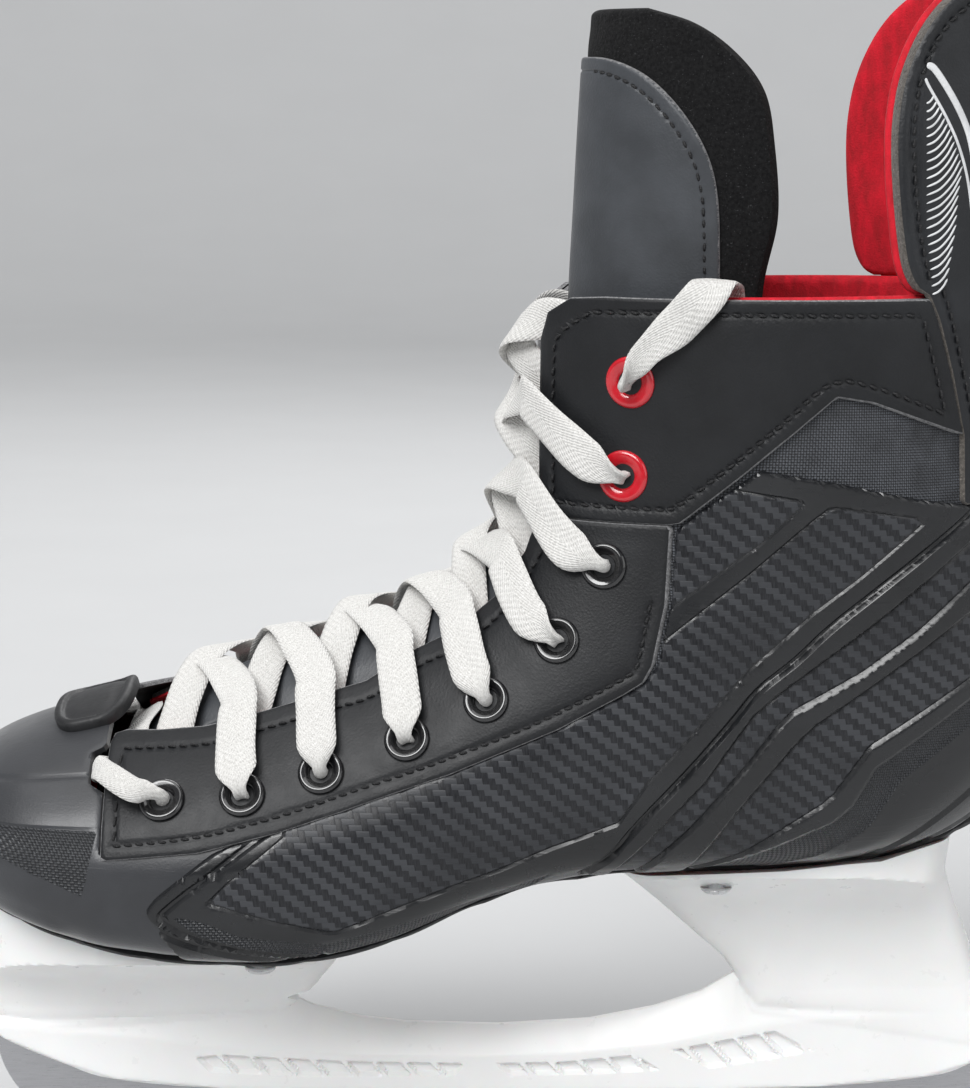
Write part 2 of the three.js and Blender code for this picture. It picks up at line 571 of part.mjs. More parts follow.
// From outside an eyelet to inside it, coming from the throat's edge and going back to it.
function inward(k, side) {
  const edge = toEdge(k, side);
  return [
    beside(k, side, edge + 3, OVER - 1.2), beside(k, side, edge - 1, OVER - 0.6), beside(k, side, 6.2, OVER + 0.2),
    ...through(k, side), beside(k, side, 4.6, UNDER - 1), beside(k, side, edge + 1.2, UNDER + 0.4),
  ];
}
const crestOver = [2.6, 1.0]; // depths of the two strands where they cross
function crossing(k, side, strand) {
  const t = (eyeletFrame(k, side).t + eyeletFrame(k + 1, -side).t) / 2;
  const at = skin(t, Math.PI, crestOver[strand]);
  const up = at.clone().sub(skin(t, 0)).setY(0).normalize();
  return { at, up, ...OPEN };
}
// One half of the lace, from the middle of the bottom bar to the top eyelet.
function halfLace(first, strand) {
  const ahead = new THREE.Vector3(-1, 0, 0);
  const rise = first > 0 ? 0 : MEDIAL_RISE * 0.8;
  const e = eyeletFrame(0, first);
  const inner = onSkin(-78.6, 89.4 + rise, first, UNDER + 0.9);
  const bend = e.at.clone().addScaledVector(e.normal, OVER + 0.3).add(new THREE.Vector3(-5, 0, 0.8));
  const rows = [
    { at: new THREE.Vector3(-76, 5.5, 93.2), up: new THREE.Vector3(-0.55, 0, 0.83), ...OPEN },
    { at: new THREE.Vector3(-77, 5.5 - first * 10, 92), up: new THREE.Vector3(-0.55, 0, 0.83), ...OPEN },
    { ...inner, up: inner.up.negate(), ...BAR },
    { at: onSkin(-83, 88.6 + rise, first, -0.7).at, up: ahead, ...BAR },
    { ...onSkin(-79.8, 87.4 + rise, first, OVER - 0.2), ...BAR },
    { at: bend, up: e.normal, ...BAR },
    ...inward(0, first).slice(3),
  ];
  let side = first;
  for (let k = 0; k + 1 < EYELET_SPOTS.length; k++) {
    rows.push(crossing(k, side, strand));
    side = -side;
    rows.push(...(k + 2 < EYELET_SPOTS.length ? inward(k + 1, side) : outward(k + 1, side)));
  }
  return rows;
}
// The top eyelet is threaded from inside, and the free end leaves it outside.
function outward(k, side) {
  const edge = toEdge(k, side);
  const [, , foot] = through(k, side);
  const e = eyeletFrame(k, side);
  const middle = { ...foot, at: e.at.clone().addScaledVector(e.normal, -0.3) };
  return [beside(k, side, edge + 1.2, UNDER + 0.4), beside(k, side, 4.6, UNDER - 1), foot, middle];
}
// The free end: over the collar, down the inside of the boot and forward along the footbed.
function tailRows(side) {
  const k = EYELET_SPOTS.length - 1;
  const e = eyeletFrame(k, side);
  const y = -side;
  const out = new THREE.Vector3(0, y, 0);
  const [lip, bore] = through(k, side);
  const spot = (x, ay, z, up) => ({ at: new THREE.Vector3(x, y * ay, z), up, ...OPEN });
  return [
    bore,
    lip,
    { at: e.at.clone().addScaledVector(e.normal, OVER + 0.6), up: lip.up, ...THREADED, thick: 1.4 },
    { ...onSkin(31.4, 174.8, side, OVER), ...BAR },
    { ...onSkin(36.6, 181, side, OVERLAY[1] + 1.6), ...OPEN },
    { at: onSkin(41, 186.2, side, OVERLAY[1] + 1.8).at, up: new THREE.Vector3(0, y, 0.35).normalize(), ...OPEN },
    spot(43.4, 33.6, 189.8, UP),
    spot(45, 27.6, 186, out.clone().negate()),
    spot(45.4, 27, 176, out.clone().negate()),
    spot(46, 26.8, 150, out.clone().negate()),
    spot(46, 26.4, 120, out.clone().negate()),
    spot(43, 25.4, 96, out.clone().negate().setZ(0.1).normalize()),
    spot(34, 23.6, 82, new THREE.Vector3(0.5, -y * 0.5, 0.8).normalize()),
    spot(18, 22, 77.6, new THREE.Vector3(0, 0, 1)),
    spot(-4, 21.4, 73, new THREE.Vector3(-0.3, 0, 1).normalize()),
    spot(-24, 21, 65.8, new THREE.Vector3(-0.3, 0, 1).normalize()),
    spot(-42, 20.4, 61.2, UP),
    spot(-58, 19.6, 61.8, UP),
  ];
}
function aglet(side) {
  const rows = tailRows(side);
  const end = rows[rows.length - 1].at;
  const axis = end.clone().sub(rows[rows.length - 2].at).normalize();
  return rod(1.3, end, axis, GAP, 20, 8);
}

// ---------------------------------------------------------------- holder, runner and fasteners
const RAIL_LOW = [
  [-112, 29], [-106.7, 24.3], [-94, 18.7], [-83, 15.1], [-60, 13], [-30, 12.3], [0, 12.2], [40, 12.5], [70, 13.4],
  [93, 15.6], [102, 18.4], [106.5, 22],
];
const RAIL_TOP = [
  [108, 30], [92, 46], [60, 42], [44, 36.4], [22, 31.4], [0, 29.4], [-21, 30.4], [-38, 32.8], [-60, 42], [-100, 44],
  [-114, 36],
];
const FRONT_PILLAR = [[-113, 34], [-112, 62], [-30, 62], [-35.4, 41.4], [-42, 33], [-46, 30], [-100, 30]];
const REAR_PILLAR = [
  [56, 30], [51.5, 37.6], [50.6, 41], [28.6, 60], [24, 76], [97, 76], [96, 62.4], [101, 47.4], [107, 30],
];
const POCKETS = [
  [[-66, 27.4], [-58, 27], [-34, 25.6], [-8, 25], [-13, 20.6], [-40, 20.6], [-62, 22]],
  [[-2, 25], [22, 26.4], [30, 28], [37, 22.4], [20, 21], [3, 20.6]],
  [[37, 29.6], [60, 35.6], [71, 27.4], [46, 23.4]],
];
// Cross-section of a pillar that widens from the rail at height low to a half width of top at height high.
function flare(low, high, top) {
  const tall = high - low;
  const side = smooth([[RAIL, low], [RAIL + 0.6, low + tall * 0.35], [RAIL + 5, low + tall * 0.72], [top, high]], 8);
  return [...side, [top, 90], [-top, 90], ...side.slice().reverse().map(([y, z]) => [-y, z])];
}
function holder() {
  const rail = prismY([...RAIL_LOW, ...RAIL_TOP], -RAIL, RAIL);
  const frontFlare = prismX([...flare(30, 46, 25), [-RAIL, 25], [RAIL, 25]], -120, -20);
  const rearFlare = prismX([...flare(38, 64, 22), [-RAIL, 28], [RAIL, 28]], 20, 110);
  const frontPad = new THREE.EllipseCurve(-66, 1.6, 44, 27).getPoints(28).slice(0, -1).map((p) => [p.x, p.y]);
  const rearEnd = new THREE.EllipseCurve(72, 0, 26, 23, -Math.PI / 2, Math.PI / 2).getPoints(12);
  const rearPad = [...rearEnd.map((p) => [p.x, p.y]), [22, 21], [22, -21]];
  const front = prismY(FRONT_PILLAR, -40, 40).intersect(frontFlare).intersect(prismZ(frontPad, 20, 90));
  const rear = prismY(REAR_PILLAR, -40, 40).intersect(rearFlare).intersect(prismZ(rearPad, 20, 90));
  const under = band(-60, -(OUTSOLE + GAP), -125, 125);
  let body = unite([rail, front, rear]).intersect(under).subtract(form(OUTSOLE + GAP));
  const groove = prismY(RUNNER_ROOM, -SLOT / 2, SLOT / 2);
  const pockets = POCKETS.flatMap((p) => [prismY(p, RAIL - 1.6, RAIL + 3), prismY(p, -RAIL - 3, -RAIL + 1.6)]);
  body = body.subtract(groove).subtract(unite(pockets)).subtract(soleHoles);
  const well = (r, x, y, top) => rod(r + GAP, new THREE.Vector3(x, y, 0), UP, 20, top, 8);
  const boltWells = BOLT_SPOTS.map((x, i) => well(BOLT.head, x, 0, TAB_TOP[i] + 1));
  const rivetWells = RIVET_SPOTS.map(([x, y]) => well(RIVET.head, x, y, flangeUnder(x) + 0.05));
  return largest(body.subtract(unite([...boltWells, ...rivetWells])));
}
const TAB_TOP = [31, 36];
const EDGE_FLAT = 30; // half length of the runner's flat
const RUNNER_EDGE = [
  [-109.5, 26], [-107.5, 17.5], [-103, 10.5], [-95, 5], [-84, 2], [-66, 0.6], [-EDGE_FLAT, 0], [EDGE_FLAT, 0],
  [70, 0.6], [86, 1.8], [96, 4.4], [102.5, 8.6], [105.5, 13.5], [105, 18.6],
];
const RUNNER_TOP = [[96, 19.6], [80, 18.6], [-60, 18.6], [-82, 20], [-94, 23], [-104.5, 28]];
// The tab at each end has a slot for the T-shaped foot of a hook bolt.
function tab(x, top) {
  return [[x + 7, 18.6], [x + 6, top], [x + 2.6, top], [x + 2.6, top - 4], [x + 4.4, top - 4], [x + 4.4, top - 8],
    [x - 4.4, top - 8], [x - 4.4, top - 4], [x - 2.6, top - 4], [x - 2.6, top], [x - 6, top], [x - 7, 18.6]];
}
function runnerOutline() {
  const [frontTab, rearTab] = BOLT_SPOTS.map((x, i) => tab(x, TAB_TOP[i]));
  const top = [RUNNER_TOP[0], RUNNER_TOP[1], ...rearTab, RUNNER_TOP[2], ...frontTab, ...RUNNER_TOP.slice(3)];
  return [...RUNNER_EDGE, ...top];
}
const RUNNER_ROOM = [
  [-113, 0], [-113, 28.3], [-104.5, 28.3], [-94, 23.3], [-82, 20.4], [-79.6, 20.4], [-78.6, TAB_TOP[0] + GAP],
  [-65.4, TAB_TOP[0] + GAP], [-64.4, 18.9], [62.4, 18.9], [63.4, TAB_TOP[1] + GAP], [76.6, TAB_TOP[1] + GAP],
  [77.6, 18.9], [96, 19.9], [106, 20], [112, 20], [112, 0],
];
const runner = () => prismY(runnerOutline(), -RUNNER_THICK / 2, RUNNER_THICK / 2);

function hookBolt(i) {
  const [x, top] = [BOLT_SPOTS[i], TAB_TOP[i]];
  const end = levelOver(x, NUT_R, BOARD[1] + GAP) + 2.1;
  const foot = box(x - 4.1, x + 4.1, -1.4, 1.4, top - 7.6, top - 4.3);
  const shaft = rod(BOLT.r, new THREE.Vector3(x, 0, 0), UP, top - 4.4, end, 8);
  const neck = box(x - 1.9, x + 1.9, -1.4, 1.4, top - 5, top + 2);
  const narrow = box(x - 9, x + 9, -1.45, 1.45, top - 12, top + 0.6);
  return unite([foot, neck, shaft.intersect(narrow.add(box(x - 9, x + 9, -9, 9, top + 0.6, 90)))]);
}
function boltNut(i) {
  const x = BOLT_SPOTS[i];
  const base = levelOver(x, NUT_R, BOARD[1] + GAP);
  const nut = rod(NUT_R, new THREE.Vector3(x, 0, base), UP, 0, 2, 6);
  return nut.subtract(rod(BOLT.r + GAP, new THREE.Vector3(x, 0, base), UP, -1, 4, 8));
}
// A rivet from under the holder's flange to the top of the insole board.
function rivet([x, y]) {
  const foot = flangeUnder(x);
  const head = levelOver(x, 2.7, BOARD[1] + GAP);
  const profile = [
    [0, foot - RIVET.tall], [RIVET.head - 1, foot - RIVET.tall], [RIVET.head, foot], [RIVET.shaft, foot],
    [RIVET.shaft, head], [2.7, head], [0, head + 0.8],
  ];
  return turned(profile, new THREE.Vector3(x, y, 0), UP, 8);
}
function flangeUnder(x) {
  return soleZ(x) - OUTSOLE - 4.4;
}

// ---------------------------------------------------------------- materials
const finish = (color, roughness, metalness = 0) => new THREE.MeshStandardMaterial({ color, roughness, metalness });
const MATERIALS = {
  leather: finish(0x1d1f23, 0.55),
  moulded: finish(0x24272c, 0.35),
  textile: finish(0x202226, 0.8),
  felt: finish(0x131314, 0.95),
  redLining: finish(0xb3121f, 0.9),
  blackEnamel: finish(0x0c0c0e, 0.2),
  redEnamel: finish(0xd01c2a, 0.3),
  laceWhite: finish(0xf0efec, 0.9),
  holderWhite: finish(0xf2f1ef, 0.4),
  steel: finish(0xb8babd, 0.3, 1),
  board: finish(0xc9c2b4, 0.8),
  foam: finish(0x3a3b3f, 0.9),
  clear: finish(0xe8e8e8, 0.2),
};

// ---------------------------------------------------------------- assembly
const skate = new THREE.Group();
function place(name, manifold, material) {
  const mesh = new THREE.Mesh(geometryOf(manifold), material);
  mesh.name = name;
  skate.add(mesh);
}
for (const [side, label] of [[1, "lateral"], [-1, "medial"]]) {
  place(`quarter_${label}`, quarter(side), MATERIALS.textile);
  place(`side_panel_${label}`, sidePanel(side), MATERIALS.moulded);
  place(`facing_${label}`, facing(side), MATERIALS.leather);
  place(`ankle_panel_${label}`, anklePanel(side), MATERIALS.leather);
  for (let k = 0; k < EYELET_SPOTS.length; k++)
    place(`eyelet_${label}_${k + 1}`, eyelet(k, side), isTop(k) ? MATERIALS.redEnamel : MATERIALS.blackEnamel);
  place(`lace_tail_${label}`, ribbon(spread(tailRows(side), 12)), MATERIALS.laceWhite);
  place(`aglet_${label}`, aglet(side), MATERIALS.clear);
}
place("toe_cap", toeCap(), MATERIALS.moulded);
place("toe_badge", toeBadge(), MATERIALS.moulded);
place("tendon_guard_base", guardBase(), MATERIALS.leather);
place("tendon_guard", tendonGuard(), MATERIALS.leather);
place("guard_lining", guardLining(), MATERIALS.redLining);
place("liner", liner(), MATERIALS.redLining);
place("heel_counter", heelCounter(), MATERIALS.board);
place("insole_board", insoleBoard(), MATERIALS.board);
place("footbed", footbed(), MATERIALS.foam);
place("outsole", outsole(), MATERIALS.moulded);
place("tongue_felt_lower", tongueFelt(TONGUE), MATERIALS.felt);
place("tongue_felt_upper", tongueFelt(TONGUE_TOP), MATERIALS.felt);
place("tongue_cover_lower", tongueCover(TONGUE, 0.75), MATERIALS.leather);
const coverTop = tongueCover(TONGUE_TOP, 1).intersect(prismY(COVER_END, -40, 40));
place("tongue_cover_upper", largest(coverTop), MATERIALS.leather);
place("lace", ribbon(spread([...halfLace(-1, 1).reverse(), ...halfLace(1, 0).slice(1)], 14)), MATERIALS.laceWhite);
place("holder", holder(), MATERIALS.holderWhite);
place("runner", runner(), MATERIALS.steel);
for (const [i, label] of ["front", "rear"].entries()) {
  place(`${label}_hook_bolt`, hookBolt(i), MATERIALS.steel);
  place(`${label}_bolt_nut`, boltNut(i), MATERIALS.steel);
}
RIVET_SPOTS.forEach((spot, i) => place(`rivet_${i + 1}`, rivet(spot), MATERIALS.steel));

export default skate;
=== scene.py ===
"""Looks of a left ice hockey skate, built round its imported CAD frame. Work is in millimetres until a mesh is made."""
import math

import bmesh
import bpy
import numpy as np
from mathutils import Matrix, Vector


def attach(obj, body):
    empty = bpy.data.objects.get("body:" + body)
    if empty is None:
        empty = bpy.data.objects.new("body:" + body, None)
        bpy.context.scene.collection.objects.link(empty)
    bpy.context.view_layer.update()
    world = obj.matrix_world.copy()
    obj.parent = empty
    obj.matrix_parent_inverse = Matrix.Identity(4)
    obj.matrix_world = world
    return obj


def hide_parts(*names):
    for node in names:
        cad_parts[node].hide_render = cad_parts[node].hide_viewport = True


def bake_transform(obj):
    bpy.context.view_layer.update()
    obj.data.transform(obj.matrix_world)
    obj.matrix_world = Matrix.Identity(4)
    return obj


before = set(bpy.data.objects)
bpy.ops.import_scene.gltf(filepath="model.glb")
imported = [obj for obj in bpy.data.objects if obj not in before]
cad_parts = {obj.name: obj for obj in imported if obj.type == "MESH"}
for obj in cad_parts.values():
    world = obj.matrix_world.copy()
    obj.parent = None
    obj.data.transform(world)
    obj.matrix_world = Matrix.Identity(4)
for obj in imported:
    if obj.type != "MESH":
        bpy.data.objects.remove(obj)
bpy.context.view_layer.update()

MM = 0.001
SIDES = ((1, "lateral"), (-1, "medial"))

# ------------------------------------------------------------------ camera
scene = bpy.context.scene
camera = bpy.data.objects.new("camera", bpy.data.cameras.new("camera"))
camera.data.sensor_fit = "HORIZONTAL"
camera.data.lens = 106.33
camera.location = (-0.0026, -0.6, 0.228)
camera.rotation_euler = (Vector((-0.0026, 0, 0.132)) - camera.location).to_track_quat("-Z", "Y").to_euler()
camera.data.clip_end = 10
scene.collection.objects.link(camera)
scene.camera = camera

# ------------------------------------------------------------------ the boot's form, as in the CAD
# Sections fan round from the toe to the ankle: back x, z, front x, z, half width, height of the widest point,
# roundness below and above it, sideways shift at the back and at the front.
SECTIONS = np.array([
    [-115.6, 70, -116, 76, 8, .45, 2.4, 2.2, 5, 5.5], [-113.6, 65, -114.2, 82.5, 20, .42, 3, 2.2, 5, 5.5],
    [-108, 61, -108.8, 88.2, 29, .4, 3.6, 2.1, 4.5, 5.5], [-99, 57, -100, 92.4, 35, .38, 4.2, 2, 4, 5.5],
    [-87, 53.5, -88.5, 95.8, 38.8, .38, 4.6, 1.9, 3, 6], [-72, 51, -75.5, 99.6, 41, .38, 5, 1.75, 1.5, 6],
    [-56, 50, -60, 105.4, 41.6, .38, 5, 1.62, .5, 5.5], [-40, 50.4, -44, 111.6, 41, .38, 5, 1.56, 0, 4.5],
    [-22, 54.5, -29, 116.8, 39.4, .38, 5, 1.56, 0, 3], [-3, 62, -16, 121.8, 37.6, .4, 4.8, 1.6, 0, 1.5],
    [17, 66.4, -6.5, 128.4, 36.4, .42, 4.4, 1.7, 0, .5], [38, 67.2, -.5, 136.4, 35.4, .44, 4, 1.8, 0, 0],
    [60, 67.2, 3, 145.6, 34.8, .46, 3.6, 1.9, 0, 0], [80, 68.4, 4.4, 154, 34.4, .46, 3.2, 2, 0, 0],
    [96, 73.2, 4.9, 162, 34.4, .46, 2.8, 2.05, 0, 0], [108, 83, 5.1, 169.6, 34.6, .46, 2.5, 2.1, 0, 0],
    [114.4, 96.5, 5.2, 177, 34.8, .46, 2.3, 2.15, 0, 0], [115.2, 111, 5.4, 184.6, 35.2, .47, 2.2, 2.2, 0, 0],
    [112.6, 128, 6.2, 192, 35.6, .48, 2.2, 2.2, 0, 0], [110.6, 147, 7.4, 200.4, 36, .5, 2.2, 2.2, 0, 0],
    [110.2, 167, 8.8, 209, 36, .5, 2.2, 2.2, 0, 0], [110.9, 188, 10.2, 218.6, 35, .5, 2.2, 2.2, 0, 0],
    [111.8, 208, 11.8, 229, 33.6, .5, 2.2, 2.2, 0, 0], [112, 230, 13.4, 241, 31.6, .5, 2.2, 2.2, 0, 0],
    [111.2, 256, 15, 258, 29.4, .5, 2.2, 2.2, 0, 0],
])
LAST = len(SECTIONS) - 1


def catmull(rows, t):
    """Rows of numbers, smoothly read at places t along them."""
    last = len(rows) - 1
    i = np.clip(np.floor(t), 0, last - 1).astype(int)
    f = (t - i)[..., None]
    p, q, r, s = (rows[np.clip(i + k, 0, last)] for k in (-1, 0, 1, 2))
    return 0.5 * (2 * q + (r - p) * f + (2 * p - 5 * q + 4 * r - s) * f**2 + (3 * q - p - 3 * r + s) * f**3)


def skin(t, angle, depth=0.0):
    """Points of the form, `depth` outside its skin. The angle is 0 at the sole and back line, pi at the front."""
    t, angle, depth = np.broadcast_arrays(*(np.asarray(q, float) for q in (t, angle, depth)))
    x0, z0, x1, z1, w, mid, low, high, yb, yf = np.moveaxis(catmull(SECTIONS, t), -1, 0)
    step = catmull(SECTIONS, np.clip(t + 0.05, 0, LAST)) - catmull(SECTIONS, np.clip(t - 0.05, 0, LAST))
    bx, bz, fx, fz, dw = np.moveaxis(step[..., :5], -1, 0)
    lb, lf = np.hypot(bx, bz), np.hypot(fx, fz)
    lean = dw / (np.hypot(bx + fx, bz + fz) / 2)
    x0, z0 = x0 + depth * bz / lb, z0 - depth * bx / lb
    x1, z1 = x1 - depth * fz / lf, z1 + depth * fx / lf
    half = w + depth / np.hypot(1, lean)
    c = np.cos(angle)
    power = 2 / np.where(c > 0, low, high)
    along = np.abs(c) ** power
    s = np.where(c > 0, mid * (1 - along), mid + (1 - mid) * along)
    y = -np.sign(angle) * half * np.abs(np.sin(angle)) ** power + yb + (yf - yb) * s
    return np.stack([x0 + (x1 - x0) * s, y, z0 + (z1 - z0) * s], -1)


def angle_table():
    """Angles at even arc lengths from the sole and back line to the front line, for sections all along."""
    u = np.linspace(0, 1, 1601)
    fine = np.pi * np.where(u < 0.5, 0.5 * (2 * u) ** 3, 1 - 0.5 * (2 - 2 * u) ** 3)
    line = skin(np.linspace(0, LAST, 241)[:, None], fine[None, :] + 1e-12)
    run = np.cumsum(np.linalg.norm(np.diff(line, axis=1), axis=2), axis=1)
    return np.array([np.interp(np.linspace(0, 1, 201), np.r_[0, row] / row[-1], fine) for row in run])


ANGLES = angle_table()


def angle_at(t, v):
    """The angle at share v of the way round: negative v is the medial side."""
    i, j = np.clip(t / LAST * 240, 0, 239.999), np.clip(np.abs(v) * 200, 0, 199.999)
    a, b = i.astype(int), j.astype(int)
    fi, fj = i - a, j - b
    near = ANGLES[a, b] * (1 - fj) + ANGLES[a, b + 1] * fj
    far = ANGLES[a + 1, b] * (1 - fj) + ANGLES[a + 1, b + 1] * fj
    return np.where(v < 0, -1, 1) * np.maximum(near * (1 - fi) + far * fi, 1e-9)


def places(points, side):
    """Section and angle where the form's side stands behind side-view points."""
    points = np.asarray(points, float)
    ts = np.linspace(0, LAST, 961)

    def across(v, x, z):
        dx, dz = v[..., 2] - v[..., 0], v[..., 3] - v[..., 1]
        px, pz = x - v[..., 0], z - v[..., 1]
        return dx * pz - dz * px, (px * dx + pz * dz) / (dx * dx + dz * dz)

    off, share = across(catmull(SECTIONS, ts)[None], points[:, :1], points[:, 1:])
    ok = (np.sign(off[:, :-1]) != np.sign(off[:, 1:])) & (share[:, :-1] > 0) & (share[:, :-1] < 1)
    k = ok.shape[1] - 1 - np.argmax(ok[:, ::-1], axis=1)
    rows = np.arange(len(k))
    a, b = off[rows, k], off[rows, k + 1]
    t = ts[k] + a / np.where(a == b, 1, a - b) * (ts[1] - ts[0])
    v = catmull(SECTIONS, t)
    _, s = across(v, points[:, 0], points[:, 1])
    s, mid, low, high = np.clip(s, 1e-6, 1 - 1e-6), v[:, 5], v[:, 6], v[:, 7]
    c = np.where(s < mid, np.abs(1 - s / mid) ** (low / 2), -(np.abs((s - mid) / (1 - mid)) ** (high / 2)))
    return t, side * np.arccos(np.clip(c, -1, 1))


def unit(v):
    return v / np.maximum(np.linalg.norm(v, axis=-1, keepdims=True), 1e-12)


def normals(t, angle):
    """Outward normals of the form."""
    h = 0.02
    n = unit(np.cross(skin(t + h, angle) - skin(t - h, angle), skin(t, angle + h) - skin(t, angle - h)))
    v = catmull(SECTIONS, np.asarray(t, float))
    heart = v[..., [0, 5, 1]] * [1, 0, 1] + (v[..., [2, 5, 3]] - v[..., [0, 5, 1]]) * v[..., 5:6] * [1, 0, 1]
    out = np.sum(n * (skin(t, angle) - heart), axis=-1, keepdims=True)
    return np.where(out < 0, -n, n)


def on_skin(points, side, depth=0.0):
    """Places and outward normals on the form's side, from side-view points."""
    t, angle = places(points, side)
    return skin(t, angle, depth), normals(t, angle)


def sole_z(x):
    """Height of the boot's underside along its middle line."""
    return np.interp(x, SECTIONS[:16, 0], SECTIONS[:16, 1])


# ------------------------------------------------------------------ side-view fields, in mm, positive inside
def segment_gaps(line, p):
    """For each segment of a line: its start, its direction, and the distances of points p from it."""
    for q, r in zip(line[:-1], line[1:]):
        d = r - q
        f = np.clip(((p - q) @ d) / max(d @ d, 1e-9), 0, 1)
        yield q, d, np.hypot(*(p - q - f[:, None] * d).T)


def gap_to(line, p):
    """Distance to an open line."""
    best = np.full(len(p), np.inf)
    for _, _, gap in segment_gaps(np.asarray(line, float), p):
        best = np.minimum(best, gap)
    return best


def side_gap(line, p):
    """Distance to an open line, negative on its right-hand side."""
    best, sign = np.full(len(p), np.inf), np.ones(len(p))
    for q, d, gap in segment_gaps(line, p):
        turn = np.where(d[0] * (p - q)[:, 1] - d[1] * (p - q)[:, 0] < 0, -1, 1)
        sign = np.where(gap < best - 1e-9, turn, sign)
        best = np.minimum(best, gap)
    return best * sign


def inside(outline, p):
    """Distance to a closed outline, positive inside it."""
    a = np.asarray(outline, float)
    odd = np.zeros(len(p), bool)
    for (x0, z0), (x1, z1) in zip(a, np.roll(a, -1, 0)):
        if z0 != z1:
            odd ^= ((z0 > p[:, 1]) != (z1 > p[:, 1])) & (p[:, 0] < x0 + (x1 - x0) * (p[:, 1] - z0) / (z1 - z0))
    return np.where(odd, 1, -1) * gap_to(np.vstack([a, a[:1]]), p)


def smooth_line(points, count=8):
    """A curve through the points."""
    rows = np.asarray(points, float)
    return catmull(rows, np.linspace(0, len(rows) - 1, (len(rows) - 1) * count + 1))


def cut_corners(points, turns=3, closed=False):
    """A line with its corners rounded off."""
    p = np.asarray(points, float)
    for _ in range(turns):
        q = np.roll(p, -1, 0)
        pairs = np.stack([0.75 * p + 0.25 * q, 0.25 * p + 0.75 * q], 1)
        p = pairs.reshape(-1, 2) if closed else np.vstack([p[:1], pairs[:-1].reshape(-1, 2), p[-1:]])
    return p


def ramp(f, low, high):
    """0 below low, 1 above high, smooth between."""
    s = np.clip((f - low) / (high - low), 0, 1)
    return s * s * (3 - 2 * s)


def edge_round(f, radius):
    """How far a rounded edge lies below the face, at distance f from the edge."""
    g = np.clip(f, 0, radius)
    return radius - np.sqrt(np.maximum(radius**2 - (radius - g) ** 2, 0))


# ------------------------------------------------------------------ meshes
def mesh_object(name, verts, faces, materials=(), which=None, flat=False):
    me = bpy.data.meshes.new(name)
    me.from_pydata((np.asarray(verts, float) * MM).tolist(), [], [list(map(int, f)) for f in faces])
    for m in materials:
        me.materials.append(m)
    if which is not None:
        me.polygons.foreach_set("material_index", np.asarray(which, np.int32))
    me.polygons.foreach_set("use_smooth", np.full(len(me.polygons), not flat))
    me.update()
    obj = bpy.data.objects.new(name, me)
    scene.collection.objects.link(obj)
    return obj


def settle(obj, body, nodes=(), second=None):
    """Rides on a body, or with second has its transform baked in instead, and hides the CAD nodes it replaces."""
    if second:
        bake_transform(obj)
    else:
        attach(obj, body)
    if nodes:
        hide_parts(*nodes)
    return obj


SNAP = 0.02  # a vertex this near a level line is taken as on it


